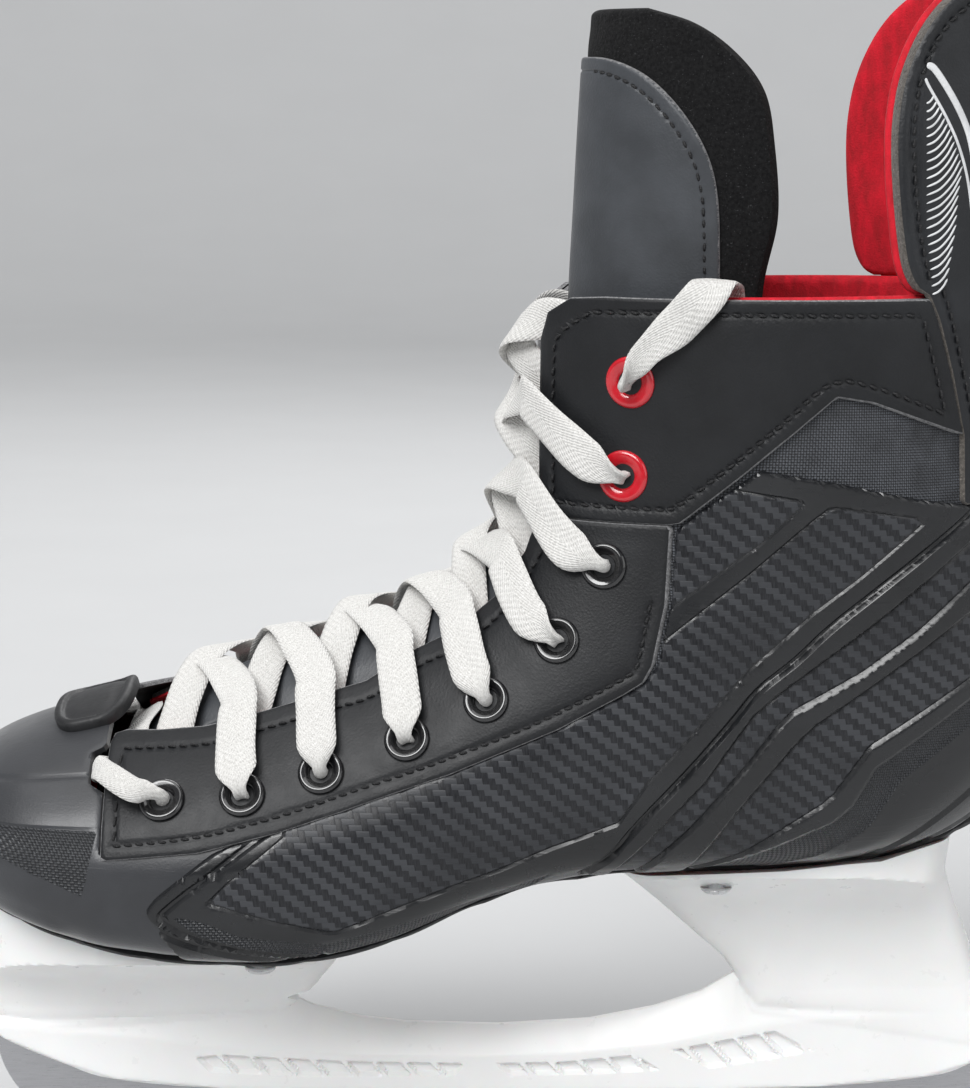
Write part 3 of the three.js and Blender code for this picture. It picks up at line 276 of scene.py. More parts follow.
class Patch:
    """Triangles over a surface that can be split along level lines of a field, so that edges and steps are crisp.
    A place is (x, z) on a flat wall, the station and the share of the half width on the tongue, and (t, u) on the
    boot's form, where u is the share of the way round from the sole and back line, or from the front line."""

    def __init__(self, box, counts, kind="side", side=1):
        (a0, a1), (b0, b1) = box
        n, m = counts
        a, b = np.meshgrid(np.linspace(a0, a1, n + 1), np.linspace(b0, b1, m + 1), indexing="ij")
        self.P = np.stack([a.ravel(), b.ravel()], -1)
        i, j = np.meshgrid(np.arange(n), np.arange(m), indexing="ij")
        q = (i * (m + 1) + j).ravel()
        odd = ((i + j) % 2).ravel()[:, None]
        one = np.where(odd, np.stack([q, q + m + 1, q + 1], -1), np.stack([q, q + m + 1, q + m + 2], -1))
        two = np.where(odd, np.stack([q + 1, q + m + 1, q + m + 2], -1), np.stack([q, q + m + 2, q + 1], -1))
        self.T = np.concatenate([one, two])
        self.kind, self.side = kind, side

    def where(self):
        """Sections and angles of the vertices on the boot's form."""
        t, u = self.P.T
        v = self.side * u if self.kind == "side" else u
        if self.kind == "front":
            v = np.where(u < 0, -1, 1) * (1 - np.abs(u))
        return t, angle_at(t, v)

    def points(self, depth=0.0):
        """The vertices in space, depth mm outside the surface."""
        if self.kind == "wall":
            y = np.broadcast_to(depth, len(self.P))
            return np.stack([self.P[:, 0], -self.side * y, self.P[:, 1]], -1)
        if self.kind == "tongue":
            return tongue_skin(*self.P.T, depth)
        return skin(*self.where(), depth)

    def flat(self):
        """The vertices in side view."""
        return self.points()[:, [0, 2]]

    def split(self, field, *levels, keep=False):
        """Splits along field = each level, or 0. With keep only the side above it stays."""
        for level in levels or (0,):
            self.cut(field(self) - level, keep)
        return self

    def cut(self, f, keep):
        f = np.where(np.abs(f) < SNAP, 0, f)
        T, sign = self.T, np.sign(f)
        edges = np.stack([T, np.roll(T, -1, 1)], -1)
        crossed = sign[edges[..., 0]] * sign[edges[..., 1]] < 0
        pairs = np.sort(edges[crossed], axis=1)
        if len(pairs):
            unique, back = np.unique(pairs, axis=0, return_inverse=True)
            w = f[unique[:, 0]] / (f[unique[:, 0]] - f[unique[:, 1]])
            made = self.P[unique[:, 0]] + (self.P[unique[:, 1]] - self.P[unique[:, 0]]) * w[:, None]
            cut = np.full(crossed.shape, -1)
            cut[crossed] = len(self.P) + back.ravel()
            self.P = np.concatenate([self.P, made])
            sign = np.concatenate([sign, np.zeros(len(made))])
            count = crossed.sum(1)
            parts = [T[count == 0]]
            for turn in range(3):  # the lone vertex comes first, between the two crossed edges
                now = (count == 2) & crossed[:, turn] & crossed[:, (turn + 2) % 3]
                a, b, c = (T[now, (turn + k) % 3] for k in range(3))
                ab, ca = cut[now, turn], cut[now, (turn + 2) % 3]
                parts += [np.stack(x, -1) for x in ((a, ab, ca), (ab, b, c), (ab, c, ca))]
                now = (count == 1) & crossed[:, (turn + 1) % 3]
                a, b, c = (T[now, (turn + k) % 3] for k in range(3))
                bc = cut[now, (turn + 1) % 3]
                parts += [np.stack(x, -1) for x in ((a, b, bc), (a, bc, c))]
            self.T = np.concatenate(parts)
        if keep:
            self.T = self.T[sign[self.T].sum(1) > 0]
            used, flat = np.unique(self.T, return_inverse=True)
            self.P, self.T = self.P[used], flat.reshape(-1, 3)

    def rim(self):
        """Boundary edges, in the order of their triangles."""
        e = np.concatenate([self.T[:, [0, 1]], self.T[:, [1, 2]], self.T[:, [2, 0]]])
        key = np.sort(e, axis=1) @ [len(self.P), 1]
        _, first, count = np.unique(key, return_index=True, return_counts=True)
        return e[first[count == 1]]

    def build(self, name, top, low, materials, which=None, closed=True, rim_material=0, sharp=40):
        """A solid between two depths. The outer face's materials come from which(centre points), one per triangle."""
        outer, n = self.points(top), len(self.P)
        inner = self.points(low)
        T = self.T
        a, b, c = (outer[T[:, k]] for k in range(3))
        out = outer - inner
        if np.sum(np.cross(b - a, c - a) * out[T[:, 0]]) < 0:  # turns the triangles to face outwards
            self.T = T = T[:, ::-1]
        rim = self.rim()
        walls = np.column_stack([rim[:, 1], rim[:, 0], rim[:, 0] + n, rim[:, 1] + n])
        faces = [*T, *walls]
        index = np.zeros(len(T), int) if which is None else which(self, T)
        index = np.r_[index, np.full(len(walls), rim_material)]
        if closed:
            faces += [*(T[:, ::-1] + n)]
            index = np.r_[index, np.zeros(len(T), int)]
        verts = np.concatenate([outer, inner])
        obj = mesh_object(name, verts, faces, materials, index)
        if sharp:
            obj.data.set_sharp_from_angle(angle=math.radians(sharp))
        if not closed:
            mend(obj)
        return obj


def mend(obj, merge=0.0):
    """Removes loose vertices. With merge, joins the ones within that many mm and turns the faces outwards."""
    bm = bmesh.new()
    bm.from_mesh(obj.data)
    for v in [v for v in bm.verts if not v.link_faces]:
        bm.verts.remove(v)
    if merge:
        bmesh.ops.remove_doubles(bm, verts=bm.verts, dist=merge * MM)
        bmesh.ops.recalc_face_normals(bm, faces=bm.faces)
    bm.to_mesh(obj.data)
    bm.free()


AIR_FRAMES, AIR_PRESSURE = 20, 4


def inflate(obj, held, cap):
    """Air pressure fills a closed pad as cloth. Held vertices stay, and no vertex moves more than cap mm."""
    me = obj.data
    rest = np.array([v.co[:] for v in me.vertices])
    pins = obj.vertex_groups.new(name="seams")
    pins.add([int(i) for i in np.nonzero(held)[0]], 1.0, "ADD")
    cloth = obj.modifiers.new("air", "CLOTH")
    cloth.settings.vertex_group_mass = "seams"
    cloth.settings.use_pressure = True
    cloth.settings.uniform_pressure_force = AIR_PRESSURE
    cloth.settings.effector_weights.gravity = 0
    cloth.settings.quality = 4
    cloth.point_cache.frame_start, cloth.point_cache.frame_end = 1, AIR_FRAMES
    for frame_number in range(1, AIR_FRAMES + 1):
        scene.frame_set(frame_number)
    done = obj.evaluated_get(bpy.context.evaluated_depsgraph_get()).to_mesh()
    moved = np.array([v.co[:] for v in done.vertices]) - rest
    far = np.linalg.norm(moved, axis=1) / MM
    obj.modifiers.remove(cloth)
    obj.vertex_groups.remove(pins)
    moved *= np.minimum(1, cap / np.maximum(far, 1e-9))[:, None] * (~held)[:, None]
    me.vertices.foreach_set("co", (rest + moved).ravel())
    me.update()
    scene.frame_set(1)


def wear(node, key):
    """A CAD node keeps its shape and takes a material."""
    obj = bpy.data.objects[node]
    obj.data.materials.clear()
    obj.data.materials.append(M[key])


def sweep(rings, closed_ends=True):
    """Vertices and faces through rings of equal length, with fans at the ends."""
    rings = [np.asarray(r, float) for r in rings]
    n = len(rings[0])
    verts = np.concatenate(rings)
    faces = []
    for i in range(len(rings) - 1):
        for j in range(n):
            k = (j + 1) % n
            faces.append((i * n + j, i * n + k, (i + 1) * n + k, (i + 1) * n + j))
    if closed_ends:
        faces.append(tuple(range(n))[::-1])
        faces.append(tuple((len(rings) - 1) * n + j for j in range(n)))
    return verts, faces


def join(parts):
    """Vertices and faces of several solids as one."""
    verts, faces, start = [], [], 0
    for v, f in parts:
        verts.append(v)
        faces += [tuple(i + start for i in q) for q in f]
        start += len(v)
    return np.concatenate(verts), faces


def frame_of(axis):
    """Three unit vectors at right angles, the last along the axis."""
    axis = unit(np.asarray(axis, float))
    side = unit(np.cross(axis, [0, 0, 1] if abs(axis[2]) < 0.9 else [1, 0, 0]))
    return side, np.cross(axis, side), axis


def turned(profile, at, axis, sides=40):
    """A turned ring or disc: profile rows are radius and height. Radius 0 at an end closes it."""
    e1, e2, e3 = frame_of(axis)
    a = np.linspace(0, 2 * np.pi, sides, endpoint=False)
    ring = np.cos(a)[:, None] * e1 + np.sin(a)[:, None] * e2
    rings = [at + ring * max(r, 1e-4) + e3 * h for r, h in profile]
    return sweep(rings, closed_ends=profile[0][0] < 1e-3)


# ------------------------------------------------------------------ materials
class Shader:
    """A material of one Principled shader. Numbers given here sit on its own sockets; patterns come from nodes."""

    def __init__(self, name, color, rough, **sockets):
        self.material = bpy.data.materials.new(name)
        self.material.use_nodes = True
        self.tree = self.material.node_tree
        self.bsdf = self.tree.nodes["Principled BSDF"]
        self.bsdf.inputs["Base Color"].default_value = (*color, 1)
        self.bsdf.inputs["Roughness"].default_value = rough
        for key, value in sockets.items():
            self.bsdf.inputs[key.replace("_", " ")].default_value = value
        self.color, self.rough = color, rough
        coord = self.tree.nodes.new("ShaderNodeTexCoord")
        scale = self.tree.nodes.new("ShaderNodeVectorMath")
        scale.operation = "SCALE"
        scale.inputs["Scale"].default_value = 1000
        self.tree.links.new(coord.outputs["Object"], scale.inputs[0])
        self.place = scale.outputs[0]
        self.height = None
        axes = self.tree.nodes.new("ShaderNodeSeparateXYZ")
        self.tree.links.new(self.place, axes.inputs[0])
        self.x, self.y, self.z = axes.outputs

    def node(self, kind, values, out=0, **props):
        n = self.tree.nodes.new(kind)
        for key, value in props.items():
            setattr(n, key, value)
        for key, value in values.items():
            if isinstance(value, bpy.types.NodeSocket):
                self.tree.links.new(value, n.inputs[key])
            else:
                n.inputs[key].default_value = value
        return n.outputs[out]

    def math(self, op, a, b=0.0, c=0.0):
        return self.node("ShaderNodeMath", {0: a, 1: b, 2: c}, operation=op)

    def noise(self, scale, detail=3.0, stretch=None, rough=0.55):
        place = self.place
        if stretch:
            place = self.node("ShaderNodeVectorMath", {0: place, 1: stretch}, operation="MULTIPLY")
        return self.node("ShaderNodeTexNoise", {"Vector": place, "Scale": scale, "Detail": detail,
                                                "Roughness": rough})

    def cells(self, scale):
        return self.node("ShaderNodeTexVoronoi", {"Vector": self.place, "Scale": scale})

    def level(self, value, low, high, to_low, to_high):
        """value mapped from low..high to to_low..to_high, kept between them."""
        return self.node("ShaderNodeMapRange", {0: value, 1: low, 2: high, 3: to_low, 4: to_high})

    def mix(self, f, a, b):
        a, b = ((*q, 1) if isinstance(q, tuple) else q for q in (a, b))
        return self.node("ShaderNodeMix", {0: f, 6: a, 7: b}, out=2, data_type="RGBA")

    def paint(self, color=None, rough=None):
        if color is not None:
            self.tree.links.new(color, self.bsdf.inputs["Base Color"])
        if rough is not None:
            self.tree.links.new(rough, self.bsdf.inputs["Roughness"])
        return self

    def bump(self, height, mm, strength=1.0):
        """Relief of `mm` from a height of 0 to 1; calls add up."""
        values = {"Height": height, "Distance": mm * MM, "Strength": strength}
        if self.height is not None:
            values["Normal"] = self.height
        self.height = self.node("ShaderNodeBump", values)
        self.tree.links.new(self.height, self.bsdf.inputs["Normal"])
        return self

    def speckle(self, low, high, scale=0.6, rough=0.08):
        """Colour and roughness vary softly between two shades."""
        n = self.noise(scale, 5.0)
        self.paint(self.mix(self.level(n, 0.35, 0.65, 0, 1), low, high))
        self.paint(rough=self.level(self.noise(scale * 2.3, 4.0), 0.3, 0.7, self.rough - rough, self.rough + rough))
        return self


def make_leather(name, low, high, rough):
    s = Shader(name, low, rough, Specular_IOR_Level=0.4)
    s.speckle(low, high, 0.08, 0.05)
    s.bump(s.noise(1.6, 4.0), 0.05).bump(s.cells(1.9), 0.03).bump(s.noise(0.05, 2.0), 0.5, 0.5)
    return s.material


TOW, TOW_TILT = 1.3, 0.18  # width of a carbon tow in mm, and how far the upright ones lean


def make_carbon(name):
    """Twill of flat tows: two over, two under. The over tows and streaks along the fibres are painted lighter, a
    painted sheen, and broad soft patches paint highlights over the weave.
    """
    s = Shader(name, (0.012, 0.013, 0.016), 0.34, Coat_Weight=0.12, Coat_Roughness=0.22, Specular_IOR_Level=0.42)
    tilt = s.math("MULTIPLY_ADD", s.z, TOW_TILT, s.x)
    u, v = s.math("DIVIDE", tilt, TOW), s.math("DIVIDE", s.z, TOW * 0.9)
    i, j = s.math("FLOOR", u), s.math("FLOOR", v)
    turn = s.math("FLOORED_MODULO", s.math("ADD", i, j), 4)
    over = s.math("LESS_THAN", turn, 1.5)

    def crown(w):
        d = s.math("MULTIPLY_ADD", s.math("FRACT", w), 2, -1)
        return s.math("SUBTRACT", 1, s.math("POWER", s.math("ABSOLUTE", d), 3))

    height = s.node("ShaderNodeMix", {0: over, 2: crown(u), 3: crown(v)}, data_type="FLOAT")
    fibre_a, fibre_b = s.noise(2.2, 2.0, (0.25, 1, 3.2)), s.noise(2.2, 2.0, (3.2, 1, 0.25))
    fibre = s.node("ShaderNodeMix", {0: over, 2: fibre_b, 3: fibre_a}, data_type="FLOAT")
    # painted light: broad soft patches lighten both kinds of tow like highlights, and the over tows are painted lighter
    # than the under tows, a painted sheen
    patch = s.level(s.noise(0.05, 2.0), 0.38, 0.62, 0.0, 1.0)
    light = s.mix(patch, (0.020, 0.0215, 0.025), (0.040, 0.0425, 0.048))
    dark = s.mix(patch, (0.0016, 0.0019, 0.0034), (0.0034, 0.0039, 0.0060))
    color = s.mix(over, dark, light)
    # painted sheen: lighter streaks along the fibres
    color = s.mix(s.level(fibre, 0.35, 0.7, 0, 0.45), color, (0.040, 0.042, 0.048))
    rough = s.node("ShaderNodeMix", {0: over, 2: 0.36, 3: 0.46}, data_type="FLOAT")
    s.paint(color, rough)
    s.bump(height, 0.04).bump(fibre, 0.02)
    return s.material


def make_weave(name, cell, low, high, rough, relief=0.12, sheen=0.0):
    """Plain weave of round threads, cell mm apart. The colour is painted dark in the gaps between threads and light on
    their crowns: painted shade and painted highlights.
    """
    s = Shader(name, low, rough, Sheen_Weight=sheen, Sheen_Roughness=0.5, Sheen_Tint=(1, 1, 1, 1))
    side = s.math("ADD", s.x, s.y)
    u, v = s.math("DIVIDE", side, cell), s.math("DIVIDE", s.z, cell)
    turn = s.math("FLOORED_MODULO", s.math("ADD", s.math("FLOOR", u), s.math("FLOOR", v)), 2)
    over = s.math("LESS_THAN", turn, 0.5)
    cu = s.math("ABSOLUTE", s.math("SINE", s.math("MULTIPLY", u, math.pi)))
    cv = s.math("ABSOLUTE", s.math("SINE", s.math("MULTIPLY", v, math.pi)))
    height = s.node("ShaderNodeMix", {0: over, 2: cu, 3: cv}, data_type="FLOAT")
    # painted light: colour runs from low in the gaps between threads (painted shade) to high on their crowns (painted
    # highlight)
    color = s.mix(s.math("MULTIPLY", cu, cv), low, high)
    color = s.mix(s.level(s.noise(0.2, 4.0), 0.4, 0.7, 0, 0.5), color, low)
    s.paint(color)
    s.bump(height, relief).bump(s.noise(3.0, 3.0), 0.05)
    return s.material


def make_satin(name, low, high, rough, grain=0.03, coat=0.0, scale=0.25, **sockets):
    s = Shader(name, low, rough, Coat_Weight=coat, Coat_Roughness=0.2, **sockets)
    s.speckle(low, high, scale, 0.06)
    scratch = s.noise(0.5, 4.0, (0.12, 1, 2.2))
    s.bump(s.noise(2.4, 3.0), grain).bump(s.level(scratch, 0.55, 0.72, 0, 1), 0.02)
    return s.material


def make_felt(name, low, high, fleck, relief=0.3, sheen=0.3):
    s = Shader(name, low, 0.97, Sheen_Weight=sheen, Sheen_Roughness=0.6, Specular_IOR_Level=0.1)
    hair = s.noise(1.4, 6.0, rough=0.7)
    color = s.mix(s.level(hair, 0.35, 0.7, 0, 1), low, high)
    color = s.mix(s.level(s.noise(2.4, 2.0), 0.66, 0.74, 0, 1), color, fleck)
    s.paint(color)
    s.bump(hair, relief).bump(s.noise(0.35, 2.0), 0.4, 0.6)
    return s.material


def make_lining(name):
    """Brushed microfibre: short pile with soft streaks."""
    s = Shader(name, (0.40, 0.003, 0.012), 0.92, Sheen_Weight=0.12, Sheen_Roughness=0.4,
               Sheen_Tint=(1, 0.45, 0.45, 1))
    streak = s.noise(0.45, 5.0, (1.0, 1.0, 0.35), 0.65)
    color = s.mix(s.level(streak, 0.35, 0.68, 0, 1), (0.42, 0.003, 0.012), (0.70, 0.010, 0.028))
    s.paint(color, s.level(streak, 0.3, 0.7, 0.8, 1.0))
    s.bump(s.noise(2.6, 4.0), 0.14).bump(streak, 0.2)
    return s.material


STRAND_PITCH, COLUMN_PITCH = 1.5, 0.9  # of the lace's braid, along and across, in mm


def make_lace(name):
    """Flat braid: two sets of strands in chevrons, from the ribbon's own along and across distances."""
    s = Shader(name, (0.84, 0.83, 0.80), 0.93, Sheen_Weight=0.25, Sheen_Roughness=0.5)
    at = s.node("ShaderNodeAttribute", {}, out=1, attribute_name="weave")
    xyz = s.tree.nodes.new("ShaderNodeSeparateXYZ")
    s.tree.links.new(at, xyz.inputs[0])
    a, b = xyz.outputs[0], xyz.outputs[1]
    slant = s.math("ADD", a, s.math("ABSOLUTE", b))
    strand = s.math("SINE", s.math("MULTIPLY", slant, 2 * math.pi / STRAND_PITCH))
    column = s.math("SINE", s.math("MULTIPLY", b, 2 * math.pi / COLUMN_PITCH))
    braid = s.math("MULTIPLY_ADD", s.math("MULTIPLY", strand, column), 0.5, 0.5)
    hair = s.noise(2.2, 6.0, rough=0.7)
    color = s.mix(s.level(hair, 0.35, 0.62, 0, 1), (0.60, 0.59, 0.565), (0.80, 0.792, 0.77))
    # painted shade: the grooves between the braid's strands are painted darker
    color = s.mix(s.level(braid, 0.0, 0.35, 0.4, 0.0), color, (0.40, 0.39, 0.375))
    s.paint(color)
    s.bump(braid, 0.2).bump(hair, 0.16)
    return s.material


def make_steel(name, base, streak=(0.15, 1, 6)):
    s = Shader(name, base, 0.3, Metallic=1.0)
    lines = s.noise(1.2, 5.0, streak, 0.7)
    tone = s.mix(s.level(lines, 0.3, 0.7, 0, 1), tuple(0.8 * q for q in base), base)
    s.paint(tone, s.level(lines, 0.3, 0.7, 0.22, 0.42))
    s.bump(lines, 0.02)
    return s.material


def make_enamel(name, low, high):
    s = Shader(name, low, 0.16, Coat_Weight=1.0, Coat_Roughness=0.06)
    s.speckle(low, high, 0.5, 0.05)
    s.bump(s.noise(0.6, 2.0), 0.03)
    return s.material


def make_holder(name):
    s = Shader(name, (0.88, 0.88, 0.87), 0.33, Subsurface_Weight=0.12, Subsurface_Scale=0.004, Coat_Weight=0.15,
               Coat_Roughness=0.3)
    tone = s.mix(s.level(s.noise(0.03, 3.0), 0.35, 0.65, 0, 1), (0.86, 0.86, 0.85), (0.91, 0.91, 0.905))
    scuff = s.level(s.noise(0.22, 6.0, (0.5, 1, 1.7), 0.75), 0.72, 0.77, 0, 0.5)
    s.paint(s.mix(scuff, tone, (0.5, 0.5, 0.5)), s.level(s.noise(0.25, 4.0), 0.3, 0.7, 0.26, 0.42))
    s.bump(s.noise(1.2, 3.0), 0.02).bump(s.noise(0.05, 2.0), 0.35, 0.6)
    return s.material


M = {
    "leather": make_leather("black_leather", (0.0062, 0.0068, 0.0082), (0.0102, 0.0111, 0.0130), 0.5),
    # painted highlight: the tongue cover's leather is painted far lighter than the black leather, standing in for its
    # highlight
    "cover_skin_painted_highlight": make_leather("cover_leather_painted_highlight", (0.044, 0.0475, 0.053), (0.062, 0.067, 0.075), 0.4),
    "guard_skin": make_leather("guard_leather", (0.0110, 0.0120, 0.0140), (0.0175, 0.0190, 0.0220), 0.42),
    "edge": make_felt("cut_edge", (0.10, 0.10, 0.105), (0.30, 0.30, 0.305), (0.5, 0.5, 0.5), 0.2, 0.1),
    "guard_edge": make_felt("guard_edge_felt", (0.05, 0.044, 0.038), (0.15, 0.135, 0.12), (0.3, 0.27, 0.24)),
    "thread": make_weave("black_thread", 0.35, (0.006, 0.006, 0.007), (0.022, 0.022, 0.024), 0.6, 0.08),
    "textile": make_weave("black_textile", 0.56, (0.004, 0.0043, 0.0052), (0.105, 0.113, 0.13), 0.6, 0.12),
    "moulded": make_satin("moulded_satin", (0.0050, 0.0055, 0.0066), (0.0098, 0.0106, 0.0124), 0.29, 0.012, 0.3,
                          0.05),
    "carbon": make_carbon("carbon_twill_painted_sheen"),
    "dots": make_weave("moulded_dots", 0.55, (0.012, 0.013, 0.015), (0.045, 0.048, 0.054), 0.42, 0.22),
    "cap": make_satin("toe_satin", (0.022, 0.0235, 0.0272), (0.034, 0.0362, 0.0415), 0.38, 0.045, 0.2, 0.06,
                      Sheen_Weight=0.28, Sheen_Roughness=0.45),
    "rubber": make_satin("black_rubber", (0.009, 0.0093, 0.0105), (0.016, 0.0165, 0.018), 0.5, 0.03),
    "felt": make_felt("black_felt", (0.0045, 0.0046, 0.0050), (0.016, 0.0160, 0.0165), (0.055, 0.056, 0.058),
                      0.3, 0.03),
    "lining": make_lining("red_microfibre"),
    "black_enamel": make_enamel("black_enamel", (0.004, 0.004, 0.005), (0.008, 0.008, 0.009)),
    "red_enamel": make_enamel("red_enamel", (0.50, 0.003, 0.012), (0.58, 0.006, 0.018)),
    "lace": make_lace("white_braid"),
    "aglet": make_satin("aglet_sleeve", (0.62, 0.62, 0.61), (0.74, 0.74, 0.73), 0.25, 0.02, 0.5),
    "holder": make_holder("white_nylon"),
    "steel": make_steel("ground_steel", (0.55, 0.55, 0.57)),
    "bolt": make_steel("zinc_steel", (0.72, 0.72, 0.73), (1, 1, 1)),
    "board": make_felt("fibre_board", (0.2, 0.17, 0.13), (0.33, 0.29, 0.23), (0.42, 0.38, 0.32), 0.1, 0.0),
    "foam": make_weave("footbed_cloth", 0.6, (0.02, 0.02, 0.022), (0.06, 0.06, 0.065), 0.9, 0.12, 0.3),
    "print": make_satin("white_print", (0.62, 0.63, 0.64), (0.78, 0.79, 0.8), 0.4, 0.05),
}

# ------------------------------------------------------------------ eyelets and laces
EYELET_SPOTS = np.array([
    [-68.2, 83.4], [-51.7, 85], [-35.7, 89.6], [-18.1, 96.4], [-2, 104.6], [12.3, 116.8], [21.8, 132], [25.8, 150.4],
    [27.1, 169.6],
])
MEDIAL_RISE = 3.5  # how much higher the medial facing and eyelets are by the toes
OVERLAY = 1.4  # how far the leather stands off the form
OVER, UNDER = OVERLAY + 3.2, -1.5 - 2.4  # depths of a lace over and under the facing
LACE_WIDTH, LACE_STEP = 8.4, 0.9  # lying open, and from one ring of its mesh to the next
THROAT = np.array([
    [-70, 95], [-60, 96.4], [-49, 99.4], [-36, 103.4], [-27, 106.2], [-17.6, 112], [-8.2, 116.8], [0.5, 124.4],
    [6.4, 133.6], [9.4, 142],
])
FRONT_RISE = np.array([[9.6, 160], [9.8, 177], [11.2, 182.6], [15.6, 185.8], [22, 186.3]])
CAP_REAR, COLLAR_Z, BEHIND = -80.9, 186.3, 135  # x, z, and an x behind all of the boot


def toe_share(x):
    """0 from the middle of the boot back, 1 at the toes."""
    return np.clip(-np.asarray(x, float) / 60, 0, 1)


def throat_edge(side):
    """The facing's edge along the throat, in side view."""
    lift = 0 if side > 0 else MEDIAL_RISE * toe_share(THROAT[:, 0])
    return np.column_stack([THROAT[:, 0], THROAT[:, 1] + lift])


def quarter_outline(side):
    front = [[CAP_REAR + 0.3, 30], [CAP_REAR + 0.3, 84], [-77, 84.6], [-77, 94.4]]
    back = [[85, COLLAR_Z], [BEHIND, COLLAR_Z], [BEHIND, 30]]
    return np.array([*front, *throat_edge(side), *FRONT_RISE, *back])


def eyelet_frame(k, side):
    """Section, angle, place and outward normal of an eyelet."""
    x, z = EYELET_SPOTS[k]
    rise = 0 if side > 0 else MEDIAL_RISE * toe_share(x) * 0.8
    t, angle = places([[x, z + rise]], side)
    return t[0], angle[0], skin(t, angle)[0], normals(t, angle)[0]


class Row:
    """A stop on a lace's way: its place, which way its face looks, its width and its thickness."""

    def __init__(self, at, up, width=LACE_WIDTH, thick=1.0):
        self.at, self.up, self.width, self.thick = np.asarray(at, float), unit(np.asarray(up, float)), width, thick


def beside(k, side, mm, depth):
    """A row beside an eyelet, mm towards the front line."""
    t, angle, at, _ = eyelet_frame(k, side)
    pace = np.linalg.norm(skin(t, angle + 0.02 * side) - at) / 0.02
    a = angle + side * mm / pace
    return Row(skin(t, a, depth), normals(t, a))


def to_edge(k, side):
    """Distance from an eyelet to the throat's edge."""
    mm = 5.0
    while inside(quarter_outline(side), beside(k, side, mm, 0).at[None, [0, 2]])[0] > 0:
        mm += 0.25
    return mm


def through(k, side):
    """The narrow rows over, in and under an eyelet."""
    _, _, at, normal = eyelet_frame(k, side)
    across = beside(k, side, 1, 0).at - at
    return [Row(at + normal * d, across, 3.0, 1.8) for d in (OVER - 0.9, 0.2, UNDER + 0.3)]


def skin_row(x, z, side, depth, **sizes):
    at, up = on_skin([[x, z]], side, depth)
    return Row(at[0], up[0], **sizes)


BAR = {"width": 5.6, "thick": 1.0}


def inward(k, side):
    """From the throat over the facing, down through an eyelet and back under the facing."""
    edge = to_edge(k, side)
    return [
        beside(k, side, edge + 3, OVER - 1.2), beside(k, side, edge - 1, OVER - 0.6), beside(k, side, 6.2,
                                                                                             OVER + 0.2),
        *through(k, side), beside(k, side, 4.6, UNDER - 1), beside(k, side, edge + 1.2, UNDER + 0.4),
    ]


def outward(k, side):
    """From the throat under the facing and into the last eyelet from below."""
    foot = through(k, side)[2]
    _, _, at, normal = eyelet_frame(k, side)
    middle = Row(at - normal * 0.3, foot.up, foot.width, foot.thick)
    return [beside(k, side, to_edge(k, side) + 1.2, UNDER + 0.4), beside(k, side, 4.6, UNDER - 1), foot, middle]


def crossing(k, side, strand):
    """Where the lace crosses the front line; strand 0 lies over strand 1."""
    t = (eyelet_frame(k, side)[0] + eyelet_frame(k + 1, -side)[0]) / 2
    at = skin(t, math.pi, (2.6, 1.0)[strand])
    return Row(at, (at - skin(t, 1e-9)) * [1, 0, 1])


def half_lace(first, strand):
    """One half of the lace, from the bar over the toes to the last eyelet; it starts on the side first."""
    rise = 0 if first > 0 else MEDIAL_RISE * 0.8
    _, _, at, normal = eyelet_frame(0, first)
    inner = skin_row(-78.6, 89.4 + rise, first, UNDER + 0.9, **BAR)
    inner.up = -inner.up
    rows = [
        Row([-76, 5.5, 93.2], [-0.55, 0, 0.83]), Row([-77, 5.5 - first * 10, 92], [-0.55, 0, 0.83]), inner,
        Row(skin_row(-83, 88.6 + rise, first, -0.7).at, [-1, 0, 0], **BAR),
        skin_row(-79.8, 87.4 + rise, first, OVER - 0.2, **BAR),
        Row(at + normal * (OVER + 0.3) + [-5, 0, 0.8], normal, **BAR), *inward(0, first)[3:],
    ]
    side = first
    for k in range(8):
        rows.append(crossing(k, side, strand))
        side = -side
        rows += inward(k + 1, side) if k < 7 else outward(k + 1, side)
    return rows


def tail_rows(side):
    """The free end: out of the top eyelet, over the collar, down inside and forward along the footbed."""
    _, _, at, normal = eyelet_frame(8, side)
    y = -side
    lip, bore, _ = through(8, side)
    out = np.array([0, -y, 0])
    spots = [
        (45, 27.6, 186, out), (45.4, 27, 176, out), (46, 26.8, 150, out), (46, 26.4, 120, out),
        (43, 25.4, 96, out + [0, 0, 0.1]), (34, 23.6, 82, (0.5, -y * 0.5, 0.8)), (18, 22, 77.6, (0, 0, 1)),
        (-4, 21.4, 73, (-0.3, 0, 1)), (-24, 21, 65.8, (-0.3, 0, 1)), (-42, 20.4, 61.2, (0, 0, 1)),
        (-58, 19.6, 61.8, (0, 0, 1)),
    ]
    return [
        bore, lip, Row(at + normal * (OVER + 0.6), lip.up, 3.0, 1.4), skin_row(31.4, 174.8, side, OVER, **BAR),
        skin_row(36.6, 181, side, OVERLAY + 1.6), Row(skin_row(41, 186.2, side, OVERLAY + 1.8).at, [0, y, 0.35]),
        Row([43.4, y * 33.6, 189.8], [0, 0, 1]), *[Row([x, y * ay, z], up) for x, ay, z, up in spots],
    ]


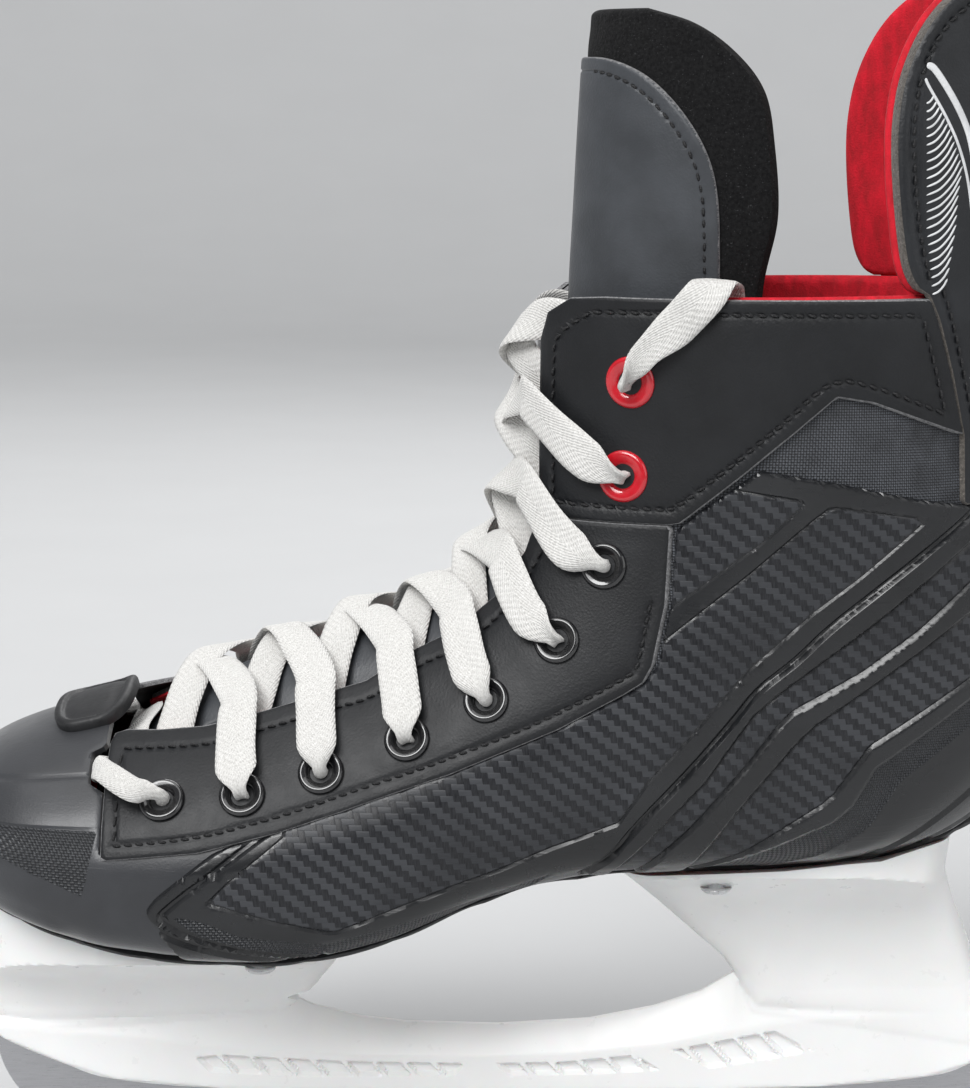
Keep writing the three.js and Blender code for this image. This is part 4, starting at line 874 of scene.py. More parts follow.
def lace_path(rows):
    """A centripetal curve through the rows: points, widths, thicknesses and across directions."""
    at = np.array([r.at for r in rows])
    knots = np.r_[0, np.cumsum(np.sqrt(np.linalg.norm(np.diff(at, axis=0), axis=1)))]
    ghost = np.concatenate([[2 * at[0] - at[1]], at, [2 * at[-1] - at[-2]]])
    gk = np.r_[-(knots[1] - knots[0]), knots, 2 * knots[-1] - knots[-2]]
    points, place = [], []
    for i in range(len(at) - 1):
        n = max(2, int(np.ceil(np.linalg.norm(at[i + 1] - at[i]) / LACE_STEP)))
        p0, p1, p2, p3 = ghost[i:i + 4]
        t0, t1, t2, t3 = gk[i:i + 4]
        for f in np.arange(n) / n:
            t = t1 + f * (t2 - t1)
            a1 = p0 * (t1 - t) / (t1 - t0) + p1 * (t - t0) / (t1 - t0)
            a2 = p1 * (t2 - t) / (t2 - t1) + p2 * (t - t1) / (t2 - t1)
            a3 = p2 * (t3 - t) / (t3 - t2) + p3 * (t - t2) / (t3 - t2)
            b1 = a1 * (t2 - t) / (t2 - t0) + a2 * (t - t0) / (t2 - t0)
            b2 = a2 * (t3 - t) / (t3 - t1) + a3 * (t - t1) / (t3 - t1)
            points.append(b1 * (t2 - t) / (t2 - t1) + b2 * (t - t1) / (t2 - t1))
            place.append(i + f)
    points.append(at[-1])
    place.append(len(at) - 1)
    points, place = np.array(points), np.array(place)
    ahead = unit(np.gradient(points, axis=0))
    rows_ahead = unit(np.gradient(at, axis=0))
    across, last = [], None
    for r, a in zip(rows, rows_ahead):
        c = unit(np.cross(a, r.up))
        c = -c if last is not None and c @ last < 0 else c
        across.append(c)
        last = c
    across = np.array(across)
    i = np.clip(place.astype(int), 0, len(rows) - 2)
    f = place - i
    f = (f * f * (3 - 2 * f))[:, None]
    c = across[i] * (1 - f) + across[i + 1] * f
    c = unit(c - ahead * np.sum(c * ahead, axis=1, keepdims=True))
    sizes = np.array([[r.width, r.thick] for r in rows])
    w, h = (sizes[i] * (1 - f) + sizes[i + 1] * f).T
    return points, ahead, c, w, h


def lace_object(name, rows):
    """A flat braid: its section cups where an eyelet draws it narrow."""
    p, ahead, c, w, h = lace_path(rows)
    face = np.cross(c, ahead)
    run = np.r_[0, np.cumsum(np.linalg.norm(np.diff(p, axis=0), axis=1))]
    s = np.linspace(-1, 1, 11)
    top = np.sqrt(np.maximum(1 - np.abs(s) ** 4, 0)) * 0.5 + 0.02
    cup = np.sqrt(np.maximum(LACE_WIDTH - w, 0) * 3 * w / 8) * 0.30
    wobble = 0.18 * np.sin(run / 5.3) + 0.12 * np.sin(run / 2.1 + 1)
    rings, weave = [], []
    for k in range(len(p)):
        share = w[k] / LACE_WIDTH
        lift = cup[k] * (1 - s**2) - cup[k] * 0.6 + 0.12 * np.sin(s * 2.2 + run[k] / 3.7) * share
        half = (w[k] + wobble[k] * share) / 2
        upper = p[k] + np.outer(s * half, c[k]) + np.outer(lift + top * h[k], face[k])
        lower = p[k] + np.outer(s[::-1] * half, c[k]) + np.outer(lift[::-1] - top[::-1] * h[k], face[k])
        rings.append(np.concatenate([upper, lower]))
        b = s * LACE_WIDTH / 2
        weave += [(run[k], q, 0) for q in np.r_[b, b[::-1]]]
    verts, faces = sweep(rings)
    obj = mesh_object(name, verts, faces, [M["lace"]])
    layer = obj.data.attributes.new("weave", "FLOAT_VECTOR", "POINT")
    layer.data.foreach_set("vector", np.asarray(weave, np.float32).ravel())
    return obj, p


def lace_end(name, p):
    """The shrink sleeve on a lace's end, a little flat where it grips the braid."""
    axis = unit(p[-1] - p[-8])
    e1, e2, _ = frame_of(axis)
    a = np.linspace(0, 2 * np.pi, 24, endpoint=False)
    rows = [(0.3, 0.7, 2.4), (0.4, 1.0, 2.6), (1.4, 1.05, 2.5), (4, 1.2, 1.5), (8, 1.25, 1.3), (18.5, 1.2, 1.25),
            (19.6, 1.0, 1.05), (20, 0.5, 0.5)]
    rings = [p[-1] + axis * d + np.outer(np.cos(a) * flat, e2) + np.outer(np.sin(a) * wide, e1)
             for d, flat, wide in rows]
    return mesh_object(name, *sweep(rings), [M["aglet"]])


for side, label in SIDES:
    rows = tail_rows(side)
    tail, line = lace_object(f"lace_end_{label}", rows)
    sleeve = settle(lace_end(f"lace_sleeve_{label}", line), "skate", [f"aglet_{label}"])
    settle(tail, "skate", [f"lace_tail_{label}"])
lace, _ = lace_object("lace_laced", [*half_lace(-1, 1)[::-1], *half_lace(1, 0)[1:]])
settle(lace, "skate", ["lace"])

for side, label in SIDES:
    for k in range(9):
        _, _, at, normal = eyelet_frame(k, side)
        top = k > 6
        r = 5.3 if top else 4.8
        profile = cut_corners([(2.2, -2.4), (3.5, -2.5), (3.6, -1.8), (2.75, -1.7), (2.75, 1.5), (r - 0.1, 1.45),
                               (r, 1.9), (r - 0.6, 2.5), (3.5, 2.35), (2.5, 1.9), (2.25, 1.2)], closed=True)
        ring = mesh_object(f"grommet_{label}_{k + 1}", *turned([*profile, profile[0]], at, normal),
                           [M["red_enamel" if top else "black_enamel"]])
        settle(ring, "skate", [f"eyelet_{label}_{k + 1}"])

# ------------------------------------------------------------------ outlines of the upper's pieces, in side view
FACING_LOW = [[-80.5, 72.7], [-60.5, 74.9], [-44.3, 79], [-32.1, 82.9], [-9.7, 90.7], [12.6, 100], [26, 107.2],
              [29.8, 109.6], [31.8, 113.2], [34.4, 125.3], [35.2, 139.9]]
PANEL_LOW = [[35, 141.2], [37.1, 141.6], [48.5, 150.9], [58.1, 159.2], [66.8, 167], [73.9, 165.8], [91.8, 159]]
GUARD_SEAM = [[92.4, 159], [89.6, 171], [86.6, 182], [85, COLLAR_Z]]
PANEL_TOP = [[-71.5, 63], [-69.5, 66], [-58, 75.2], [-44.3, 79.4], [-32.1, 83.3], [-9.7, 91.1], [12.8, 100.4],
             [29.2, 108.6], [32.4, 113], [35, 125.3], [35.8, 139.8], [40.7, 144], [47.1, 148.6], [52.2, 152.4],
             [67, 149.9], [83.9, 146.3], [104, 143], [125, 141]]
GUARD = cut_corners([
    [84.6, 187], [82.2, 188.4], [80.3, 192], [79.3, 197], [78.2, 206], [77.6, 215], [77.8, 222], [79.2, 230],
    [82.6, 238], [87, 244], [93, 248.6], [101, 251.4], [112, 252.2], [130, 252.4], [130, 187]], 2)

# the moulded panel's marks: fields of twill, grooves and patterned strips
LINES = {
    2: [[17, 69.5], [23.6, 74.1], [27.4, 79.6], [38.8, 91.4], [47.9, 102], [52.4, 108.2], [58.4, 113], [61.3, 115.6],
        [66.4, 120.9], [78.3, 130.2], [94.5, 142.4], [98, 146]],
    3: [[22, 67.8], [30.6, 76.8], [42.6, 89.7], [52.1, 103.2], [56.3, 107], [65.9, 114.4], [71.8, 118.7],
        [84.3, 128.5], [94.7, 136.7], [103, 144]],
    4: [[27.7, 68], [39.3, 79.5], [50.5, 92.7], [56.3, 100.5], [59.6, 103.9], [73, 111.6], [84.5, 119.9],
        [94.9, 128.8], [110, 143]],
    5: [[38.3, 68.4], [49, 83.2], [60.6, 97.4], [64.2, 101], [81, 113], [95, 122.7], [104, 130], [116, 142]],
    6: [[38.3, 68.4], [49.8, 73.1], [66.1, 84.2], [68.4, 86.3], [75.3, 96.4], [78.9, 98.7], [95.2, 109.2],
        [104, 116], [112, 124], [122, 136]],
    7: [[40.3, 68.2], [55.8, 74.4], [68.6, 80.4], [72.3, 83.8], [76.7, 91.9], [95.4, 105], [108, 114], [125, 127]],
    8: [[52.3, 68.1], [66, 72.2], [74.2, 77.3], [76.4, 79.5], [82, 89], [95.7, 99.6], [110, 110], [125, 121]],
    9: [[68.6, 68.3], [81.4, 72.3], [96.9, 84.6], [106, 94], [120, 110]],
    10: [[80.7, 69.4], [99, 78], [108, 87], [118, 100]],
}
MAIN_FIELD = [
    [-58.6, 65.3], [-46.1, 61.8], [-34.6, 59.3], [-32.3, 59.4], [-12.5, 67], [0.3, 71.6], [11, 76], [21.5, 79.8],
    [24.5, 80.9], [30.3, 89], [38.7, 98.1], [50.9, 112.5], [63.4, 124], [72.1, 130.7], [84.6, 141.2], [83.9, 142.4],
    [67.6, 144.9], [65.8, 144.7], [62.6, 142.2], [50, 131.1], [34, 118], [20, 112], [-20, 96], [-43, 82],
    [-43.1, 78.3],
    [-54, 69.7],
]
UPPER_FIELD = [[33, 143], [47.1, 148.4], [60.3, 146.3], [60.9, 145.4], [53.5, 138.4], [45.1, 132], [33, 122.9]]
STRIP = [*LINES[3], *LINES[4][::-1]]
LOW_FIELD = [*LINES[5], *LINES[6][::-1]]
DOT_STRIP = [*LINES[7], *LINES[8][::-1]]
NOSE_OUTER = [[-50, 79], [-58.2, 75.2], [-71, 65.2], [-71.9, 63], [-70.9, 60.8], [-64.2, 57.2], [-49.8, 53.1],
              [-38, 51.8]]
NOSE_INNER = [[-45, 80], [-51.1, 76], [-67.8, 63.4], [-68.3, 61.9], [-60.1, 57.6], [-47.2, 54.3], [-35.9, 53.2]]
NOSE_DOTS = [[-66.5, 62.9], [-59.8, 61.8], [-52, 58.9], [-34.9, 56.9], [-35.9, 54], [-47.3, 55.2], [-60.1, 58.8]]
ARCH_RIBS = [[-36.2, 56.6], [-19.9, 60.6], [-3.8, 64.8], [11.3, 70.4], [5.6, 65.8], [-10.4, 60.9],
             [-24.4, 55.8], [-34.6, 53.8]]


def outline_field(outline):
    """A patch's distances inside a side-view outline."""
    return lambda patch: inside(outline, patch.flat())


STITCH_PITCH, STITCH_HALF, STITCH_SKEW = 2.35, 0.9, 0.16  # half length, and how far a seam's stitches slant
STITCH = ((-0.08, 0.06, -0.45), (0.08, 0.24, -0.08), (0.3, 0.32, 0.1), (0.7, 0.32, 0.1), (0.92, 0.24, -0.08),
          (1.08, 0.06, -0.45))  # share of the way along, radius and height
HEXAGON = np.linspace(0, 2 * np.pi, 7)[:6]


def stitch_spots(path):
    """An even row of stitches along a path: a function that reads rows at an offset from the stitches' middles."""
    run = np.r_[0, np.cumsum(np.linalg.norm(np.diff(path, axis=0), axis=1))]
    count = int(run[-1] / STITCH_PITCH)
    mid = (np.arange(count) + 0.5) * run[-1] / count

    def read(rows, offset):
        return np.column_stack([np.interp(mid + offset, run, column) for column in rows.T])
    return read


def thread(starts, ends, ups, skew=0.0):
    """Each stitch is a short bulged piece that dives into the leather at its ends."""
    parts = []
    for p, q, up in zip(starts, ends, ups):
        across = unit(np.cross(unit(q - p), up))
        parts.append(sweep([p + (q - p) * f + up * h + across * skew * (f - 0.5) * 2
                            + np.outer(np.cos(HEXAGON) * r, across) + np.outer(np.sin(HEXAGON) * r, up)
                            for f, r, h in STITCH]))
    return join(parts)


def stitch_lines(name, path, side, depth, second=None):
    """Thread along a side-view path."""
    path = smooth_line(path, 6)
    read = stitch_spots(path)
    (a, n), (b, _) = (on_skin(read(path, offset), side, depth) for offset in (-STITCH_HALF, STITCH_HALF))
    obj = mesh_object(name, *thread(a, b, n, STITCH_SKEW), [M["thread"]])
    settle(obj, "skate", second=second)


def inset(path, mm):
    """A path moved mm to its left."""
    p = np.asarray(path, float)
    d = unit(np.gradient(p, axis=0))
    return p + np.column_stack([-d[:, 1], d[:, 0]]) * mm


def edge_mark(field, first=0.28):
    """Material 1 on the narrow cut edge, 0 elsewhere."""
    def which(patch, T):
        return (field(patch)[T].mean(1) < first).astype(int)
    return which


def leather_panel(name, outline, side, nodes, seams, box, cells, top=OVERLAY):
    """A leather overlay: rounded cut edge, stitch grooves and a slightly puffed middle."""
    patch = Patch(box, cells, "side", side)
    field = outline_field(outline)
    patch.split(field, keep=True).split(field, 0.3, 0.9)
    grooves = [smooth_line(s, 4) for s in seams]

    def seam_gap(q):
        return np.min([gap_to(g, q.flat()) for g in grooves], axis=0)

    patch.split(seam_gap, 0.25, 0.75)
    f, g = field(patch), seam_gap(patch)
    depth = top - edge_round(f, 0.9) * 0.8 - 0.34 * (1 - ramp(g, 0.2, 0.8))
    depth += 0.16 * ramp(g, 0.6, 2.2) * ramp(f, 3.0, 6.0)
    obj = patch.build(name, depth, 0.0, [M["leather"], M["edge"]], edge_mark(field), rim_material=1)
    settle(obj, "skate", nodes)
    for i, s in enumerate(seams):
        stitch_lines(f"{name}_thread_{i + 1}", s, side, top - 0.12)


# ------------------------------------------------------------------ quarters, panels and facings
CAP_FRONT = -34  # x as far back as the toe cap reaches over the quarters
RIDGES = [[*LINES[low], *LINES[high][::-1]] for low, high in ((2, 3), (4, 5), (6, 7))]
RIDGE_SLOPE = 0.8  # mm over which a raised band between two marks rises
GROOVES = [cut_corners(line) for line in (NOSE_OUTER, NOSE_INNER, LINES[2], LINES[9], LINES[10])]

for side, label in SIDES:
    outline = quarter_outline(side)
    quarter = Patch(((3, 21.5), (0.001, 0.999)), (190, 84), "side", side)
    quarter.split(outline_field(outline), keep=True).split(lambda q: q.flat()[:, 0], CAP_FRONT)
    f = inside(outline, quarter.flat())
    obj = quarter.build(f"quarter_shell_{label}", -0.02 - edge_round(f, 0.5), -1.5,
                        [M["textile"], M["cap"], M["edge"]],
                        lambda q, T: (q.flat()[:, 0][T].mean(1) < CAP_FRONT).astype(int), rim_material=2)
    settle(obj, "skate", [f"quarter_{label}"])

    edge = throat_edge(side)
    facing = np.array([[-80.5, 73.2], [-80.5, edge[0, 1] - 3], [-79.6, edge[0, 1] - 1.3], [-77, edge[0, 1] - 0.6],
                       *edge, [9.5, 141.2], [35.2, 141.2], *FACING_LOW[::-1]])
    low_seam = inset(FACING_LOW, 3.0)[:-1]
    low_seam[0, 0] += 2.6
    top_seam = inset(edge, -3.0)
    top_seam[0] = [-77.5, edge[0, 1] - 3.6]
    front_seam = [[-77.6, 76.2], [-77.6, 82], [-77.5, edge[0, 1] - 4]]
    leather_panel(f"facing_leather_{label}", facing, side, [f"facing_{label}"],
                  [low_seam, top_seam, front_seam], ((3.6, 20.5), (0.15, 0.999)), (230, 92))

    ankle = [[9.5, 141.2], [9.6, 160], *FRONT_RISE[1:], *GUARD_SEAM[::-1], *PANEL_LOW[::-1]]
    seams = [[[12.6, 144.4], [33, 144.4], [36, 144.8], *inset(PANEL_LOW, 3.0)[2:-1], [88.3, 163.2]],
             [[88.2, 163.8], [86.4, 171], [83.4, 182.3]],
             [[82, 183.1], [60, 183.2], [24, 183.2], [18.5, 182], [13.6, 178], [12.6, 172], [12.6, 145.4]]]
    leather_panel(f"ankle_leather_{label}", ankle, side, [f"ankle_panel_{label}"],
                  seams, ((9.5, 21.5), (0.05, 0.999)), (200, 100), top=OVERLAY + 0.25)

    # moulded side panel
    panel = Patch(((4.2, 20.5), (0.02, 0.97)), (320, 146), "side", side)
    shape = [*PANEL_TOP, *[[x, sole_z(x) + 1.0] for x in (125, 108, 96, 80, 60, 38, 17, -3, -22, -40, -56, -64)]]
    whole = outline_field(shape)
    panel.split(whole, keep=True).split(whole, 0.8)
    fields = [outline_field(o) for o in (MAIN_FIELD, UPPER_FIELD, STRIP, LOW_FIELD)]
    dots = [outline_field(o) for o in (DOT_STRIP, NOSE_DOTS, ARCH_RIBS)]

    def groove_gap(q):
        return np.min([gap_to(c, q.flat()) for c in GROOVES], axis=0)

    for f in fields + dots:
        panel.split(f)
    for c in [*GROOVES, np.array(LINES[7])]:
        panel.split(lambda q, c=c: side_gap(c, q.flat()))
    for f in fields:
        panel.split(f, -0.4, 0.5)
    panel.split(groove_gap, 0.3, 0.9)
    for ridge in RIDGES:
        panel.split(outline_field(ridge), RIDGE_SLOPE)
    twill = np.max([f(panel) for f in fields], axis=0)
    fine = np.max([f(panel) for f in dots], axis=0)
    g = groove_gap(panel)
    flat = panel.flat()
    between = sum(ramp(inside(ridge, flat), 0, RIDGE_SLOPE) for ridge in RIDGES[:2])
    below = ramp(inside(RIDGES[2], flat), 0, RIDGE_SLOPE)
    lower = ramp(inside([*LINES[8], *LINES[9][::-1]], flat), 0, 5)
    depth = 1.1 - edge_round(whole(panel), 0.8) - 0.22 * ramp(twill, 0, 0.5) - 0.2 * ramp(fine, 0, 0.4)
    depth -= 0.42 * (1 - ramp(np.abs(twill), 0.05, 0.45))
    depth += 0.45 * between + 0.35 * below + 0.3 * lower - 0.7 * (1 - ramp(g, 0.25, 0.95))

    def panel_material(q, T):
        a = np.max([f(q)[T].mean(1) for f in fields], axis=0) > 0.25
        b = np.max([f(q)[T].mean(1) for f in dots], axis=0) > 0
        return np.where(a, 1, np.where(b, 2, 0))

    obj = panel.build(f"side_moulding_{label}", depth, 0.0, [M["moulded"], M["carbon"], M["dots"]],
                      panel_material, closed=False, sharp=24)
    settle(obj, "skate", [f"side_panel_{label}"])

    # lining that shows inside the throat
    strip = Patch(((3.8, 16.5), (0.3, 0.999)), (150, 60), "side", side)
    rim = np.vstack([edge, FRONT_RISE[:2]])
    strip.split(lambda q: np.minimum(inside(outline, q.flat()) + 0.7, 13 - gap_to(rim, q.flat())), keep=True)
    strip.split(lambda q: q.flat()[:, 0], -79, keep=True)
    f = inside(outline, strip.flat()) + 0.7
    ripple = 0.12 * np.sin(strip.flat()[:, 0] * 0.8) * ramp(f, 0, 3)
    soft = edge_round(f, 0.7) * 0.5
    obj = strip.build(f"throat_lining_{label}", -1.55 - soft, -2.7 + soft + ripple, [M["lining"]])
    settle(obj, "skate")

# ------------------------------------------------------------------ toe cap, badge and outsole
TOE = [[-130, 30], [CAP_FRONT, 30], [CAP_FRONT, 82.4], [-60.5, 75.6], [CAP_REAR, 73.6], [CAP_REAR, 84.6],
       [-84.2, 86], [-84.2, 90.6], [-81.4, 91.8], [-81.4, 120], [-130, 120]]
TOE_LINES = [[[-120, 82.6], [-103.4, 85.2], [-81, 87.4]], [[-120, 76.9], [-102.1, 77.6], [-80, 78.2]],
             [[-120, 64.5], [-102.9, 61.2], [-93, 58.9], [-86.4, 57.4]]]
TOE_WEDGE = [[-120, 77.4], [-102, 77.9], [-81.4, 78], [-84.3, 65.6], [-101.8, 71.9], [-120, 75]]
cap = Patch(((0, 9), (-1, 1)), (150, 230), "front")


def cap_shape(q):
    """Distance inside the cap's outline; the notch for the lace sits higher on the medial side."""
    flat = q.flat()
    rise = MEDIAL_RISE * (q.points()[:, 1] > 0) * ramp(flat[:, 1], 76, 86)
    return inside(TOE, flat - np.column_stack([0 * rise, rise]))


cap.split(cap_shape, keep=True)
cap.split(outline_field(TOE_WEDGE))
toe_gap = lambda q: np.min([gap_to(smooth_line(c, 3), q.flat()) for c in TOE_LINES[:2]], axis=0)
cap.split(toe_gap, 0.15, 0.6)
flat = cap.flat()
edge = cap_shape(cap)
crease = gap_to(smooth_line(TOE_LINES[2], 3), flat)
fade = 1 - ramp(flat[:, 0], -92, -86)
depth = 0.9 - 0.55 * ramp(flat[:, 0], -84, -72) - 0.35 * (1 - ramp(toe_gap(cap), 0.1, 0.65))
depth += 0.5 * (1 - ramp(crease, 0, 2.6)) * fade
depth -= 0.12 * ramp(inside(TOE_WEDGE, flat), 0, 0.5) + edge_round(np.where(flat[:, 0] < -80, edge, 9), 0.5) * 0.5
obj = cap.build("toe_cap_moulding", depth, -1.0, [M["cap"], M["dots"]],
                lambda q, T: (inside(TOE_WEDGE, q.flat())[T].mean(1) > 0).astype(int))
weld = obj.modifiers.new("seam", "WELD")
weld.merge_threshold = 0.00002
settle(obj, "skate", ["toe_cap"])

tip_turn = np.linspace(-math.pi, math.pi, 97)[:-1] + 1e-6
tip_rim = skin(0.08, tip_turn, 0.86)
tip_heart = tip_rim.mean(0)
tip_rings = [skin(0.3, tip_turn, -0.6)]
tip_rings += [tip_heart + (tip_rim - tip_heart) * s + [-0.75 * (1 - s**2), 0, 0] for s in np.linspace(1, 0.02, 14)]
obj = mesh_object("toe_tip", *sweep(tip_rings), [M["cap"]])
mend(obj, 0.005)
settle(obj, "skate")

badge = Patch(((2.2, 7.4), (-0.6, 0.6)), (150, 150), "front")
BADGE_HEART, BADGE_HALF = np.array([-86.1, 3.8]), np.array([8.4, 15.4])  # x, y


def badge_gap(q):
    """Distance in mm inside the badge, a rounded plate seen from above."""
    p = q.points(2)
    d = np.abs(p[:, :2] - BADGE_HEART) / BADGE_HALF
    r = np.maximum((d**3).sum(1), 1e-9) ** (1 / 3)
    return (1 - r) * r**2 / np.maximum(np.linalg.norm(d**2 / BADGE_HALF, axis=1), 1e-6)


badge.split(badge_gap, keep=True).split(badge_gap, 0.4, 1.0, 1.9, 2.3)
f = badge_gap(badge)
depth = 3.3 - edge_round(f, 1.0) - 0.8 * ramp(f, 1.7, 2.4) + 0.25 * ramp(f, 2.8, 6)
obj = badge.build("toe_badge_rubber", depth, 0.6, [M["rubber"]])
settle(obj, "skate", ["toe_badge"])

sole = Patch(((0, 16.4), (-0.46, 0.46)), (230, 150), "sole")
sole_shape = lambda q: sole_z(q.points()[:, 0]) + 0.9 - q.points()[:, 2]
sole.split(sole_shape, keep=True).split(sole_shape, 0.35, 0.9)
sole.split(lambda q: 107 - q.points()[:, 0], keep=True)
obj = sole.build("outsole_moulding", 2.4 - edge_round(sole_shape(sole), 1.0), 0.3, [M["rubber"]])
settle(obj, "skate", ["outsole"])

# ------------------------------------------------------------------ tendon guard
def guard_patch(cells, outline, box=((17.5, 24), (-0.75, 0.75))):
    patch = Patch(box, cells, "sole")
    return patch.split(outline_field(outline), keep=True)


BASE_SEAM = [[95, 160.4], [92.3, 171.6], [89.4, 182.8], [87.4, 188.4]]
RIM_SEAM = [[84.9, 189.8], [84, 193], [82.7, 199], [81.6, 208], [81.1, 216], [81.5, 224], [83, 231], [86, 237.4],
            [90, 242], [95, 245], [102, 247.4], [112, 248.2], [120, 248.2]]
GUARD_BEND = ("guard_top", (0.1136, 0, 0.1868), (0.1146, 0, 0.2010))
GUARD_WHOLE = [[92.6, 158.6], [89.9, 171], [86.9, 182], [84.7, 187], *GUARD[1:-1], [130, 143], [93, 144.6]]
guard = guard_patch((230, 150), GUARD_WHOLE, ((13, 24), (-0.75, 0.75)))
shape = outline_field(GUARD_WHOLE)
rim_line, seam_line = smooth_line(RIM_SEAM, 4), smooth_line(BASE_SEAM, 4)


def guard_gap(q):
    return np.minimum(gap_to(rim_line, q.flat()), gap_to(seam_line, q.flat()))


guard.split(shape, 0.3, 0.9).split(guard_gap, 0.3, 0.9)
f, flat = shape(guard), guard.flat()
inner_side = inside([*RIM_SEAM, [130, 248.2], [130, 186], [86, 186]], flat)
above = ramp(flat[:, 1], 187.5, 191)
depth = 1.22 + 0.18 * above - edge_round(f, 0.9) * 0.8 - 0.4 * (1 - ramp(guard_gap(guard), 0.25, 0.95))
depth += 0.35 * above * ramp(-inner_side, 0.8, 2.2) * ramp(f, 0.5, 1.5)
obj = guard.build("guard_leather", depth, -1.2 * ramp(flat[:, 1], 186.9, 188.4), [M["guard_skin"], M["guard_edge"]],
                  edge_mark(shape, 0.3), rim_material=1)
settle(obj, "skate", ["tendon_guard", "tendon_guard_base"], second=GUARD_BEND)

lining_shape = [[x - 0.9 if x < 120 else x, min(z, 251.6)] for x, z in GUARD]
pad = guard_patch((72, 84), lining_shape)
pad_field = outline_field(lining_shape)
pad.split(pad_field, 1.0)
f = pad_field(pad)
soft = edge_round(f, 1.0)
obj = pad.build("guard_padding", -1.35 - soft * 0.6, -2.9 - 0.3 * ramp(f, 0, 3) + soft * 0.5, [M["lining"]], sharp=0)
inflate(obj, np.r_[np.ones(len(f), bool), f < 1.6], 1.5)
settle(obj, "skate", ["guard_lining"], second=GUARD_BEND)

# printed stripes, with a fan of fine lines below them: paths and widths
GUARD_STRIPES = [
    ([[83.4, 231.6], [84.9, 231.2], [88.6, 225.8], [91.5, 220.1], [93, 214.8], [94.4, 206], [96, 196]], 1.5),
    ([[83.2, 229.4], [83.8, 227.9], [87.4, 221.8], [90.1, 216], [92.1, 209], [93.4, 200]], 0.65),
]
FAN_LINE = ((0, 0), (0.4, 0.18), (0.75, 0.55), (1, 1))  # a line's course, in shares of its reach
for k in range(24):
    x, z = 83.4 + 0.02 * k + max(0, k - 15) * 0.16, 224.5 - 1.62 * k
    reach = np.interp(z, [186, 195, 205, 215, 224.5], [2.6, 5.4, 7.2, 4.6, 1.4])
    GUARD_STRIPES.append(([[x + reach * a, z + reach * b] for a, b in FAN_LINE], 0.42))
BASE_STRIPES = [([[93.9, 173.6], [95.2, 171], [97.4, 165.6], [99, 160]], 1.2),
                ([[93.6, 170.4], [94.8, 167.8], [96.6, 163.2]], 0.6)]


def stripe(path, width, side, depth):
    """A thin raised line with tapered ends along a side-view path."""
    line = smooth_line(path, 6)
    centre, up = on_skin(line, side, depth)
    across = unit(np.cross(unit(np.gradient(centre, axis=0)), up))
    to_end = np.minimum(np.arange(len(line)), np.arange(len(line))[::-1])
    taper = (np.minimum(1, 0.25 + to_end / 3) * width / 2)[:, None]
    return sweep([[c - a * w, c - a * w * 0.8 + u * 0.1, c + a * w * 0.8 + u * 0.1, c + a * w, c - u * 0.35]
                  for c, a, u, w in zip(centre, across, up, taper)])


for side, label in SIDES:
    stitch_lines(f"guard_thread_{label}", RIM_SEAM[:-1], side, 1.24, GUARD_BEND)
    stitch_lines(f"guard_seam_thread_{label}", BASE_SEAM, side, 1.06, GUARD_BEND)
    for piece, lines, depth, bend in (("guard", GUARD_STRIPES, 1.42, GUARD_BEND), ("guard_base", BASE_STRIPES,
                                                                                   1.22, None)):
        stripes = join([stripe(path, width, side, depth) for path, width in lines])
        obj = mesh_object(f"{piece}_stripes_{label}", *stripes, [M["print"]])
        settle(obj, "skate", second=bend)

# ------------------------------------------------------------------ liner, stiffener, footbed
LINER = [[-118, 74], [-80, 75], [-68, 76], [-50, 77.5], [-34, 82], [-15, 88.5], [2, 97], [18, 109], [29, 126],
         [34, 146],
         [35.5, 165], [36, 180], [40, 184], [44, 186.9], [BEHIND, 186.9], [BEHIND, 20], [-118, 20]]
liner = Patch(((0.3, 21.6), (-0.995, 0.995)), (124, 132), "sole")
liner_field = outline_field(LINER)
liner.split(liner_field, keep=True)
liner.split(lambda q: q.points(-3)[:, 2] - sole_z(q.points()[:, 0]) - 6.9, keep=True).split(liner_field, 1.6)
f, z = liner_field(liner), liner.points()[:, 2]
soft = edge_round(f, 1.2)
obj = liner.build("liner_padding", -1.75 - soft * 0.5, -4.0 + soft * 0.8, [M["lining"]], sharp=0)
inflate(obj, np.r_[np.ones(len(f), bool), (f < 2) | (z < 110) | (np.abs(f - 17) < 1.2)], 2.4)
settle(obj, "skate", ["liner"])

for name in ("front_hook_bolt", "rear_hook_bolt", "front_bolt_nut", "rear_bolt_nut"):
    wear(name, "bolt")
for name in ("heel_counter", "insole_board"):
    wear(name, "board")

# the footbed: a cloth-faced foam plate with rolled edges, dished under the heel
steps = np.linspace(0, 1, 74)
bed_x = -103.5 + 196 * (0.5 - 0.5 * np.cos(steps * math.pi))
ring = []
for x in bed_x:
    z = sole_z(x)
    reach = [skin(*places([[x, z + 7.5]], side), -5.5)[0, 1] for side in (1, -1)]
    mid, half = sum(reach) / 2, (reach[1] - reach[0]) / 2
    end = np.clip(min(x + 104.5, 93.5 - x) / 16, 0.02, 1)
    half *= (1 - (1 - end) ** 2.2) ** (1 / 2.2)
    w = np.linspace(-1, 1, 25)
    crown = (1 - np.abs(w) ** 6) ** 0.5
    dish = 0.7 * ramp(x, 30, 60) * (1 - w**2) + 0.5 * np.cos(w * 9) * 0.12
    up = np.column_stack([np.full(25, x), mid + w * half, z + 7 + 1.7 * crown - dish])
    down = np.column_stack([np.full(25, x), mid + w * half, z + 7 - 2.0 * crown])[::-1]
    ring.append(np.concatenate([up, down[1:-1]]))
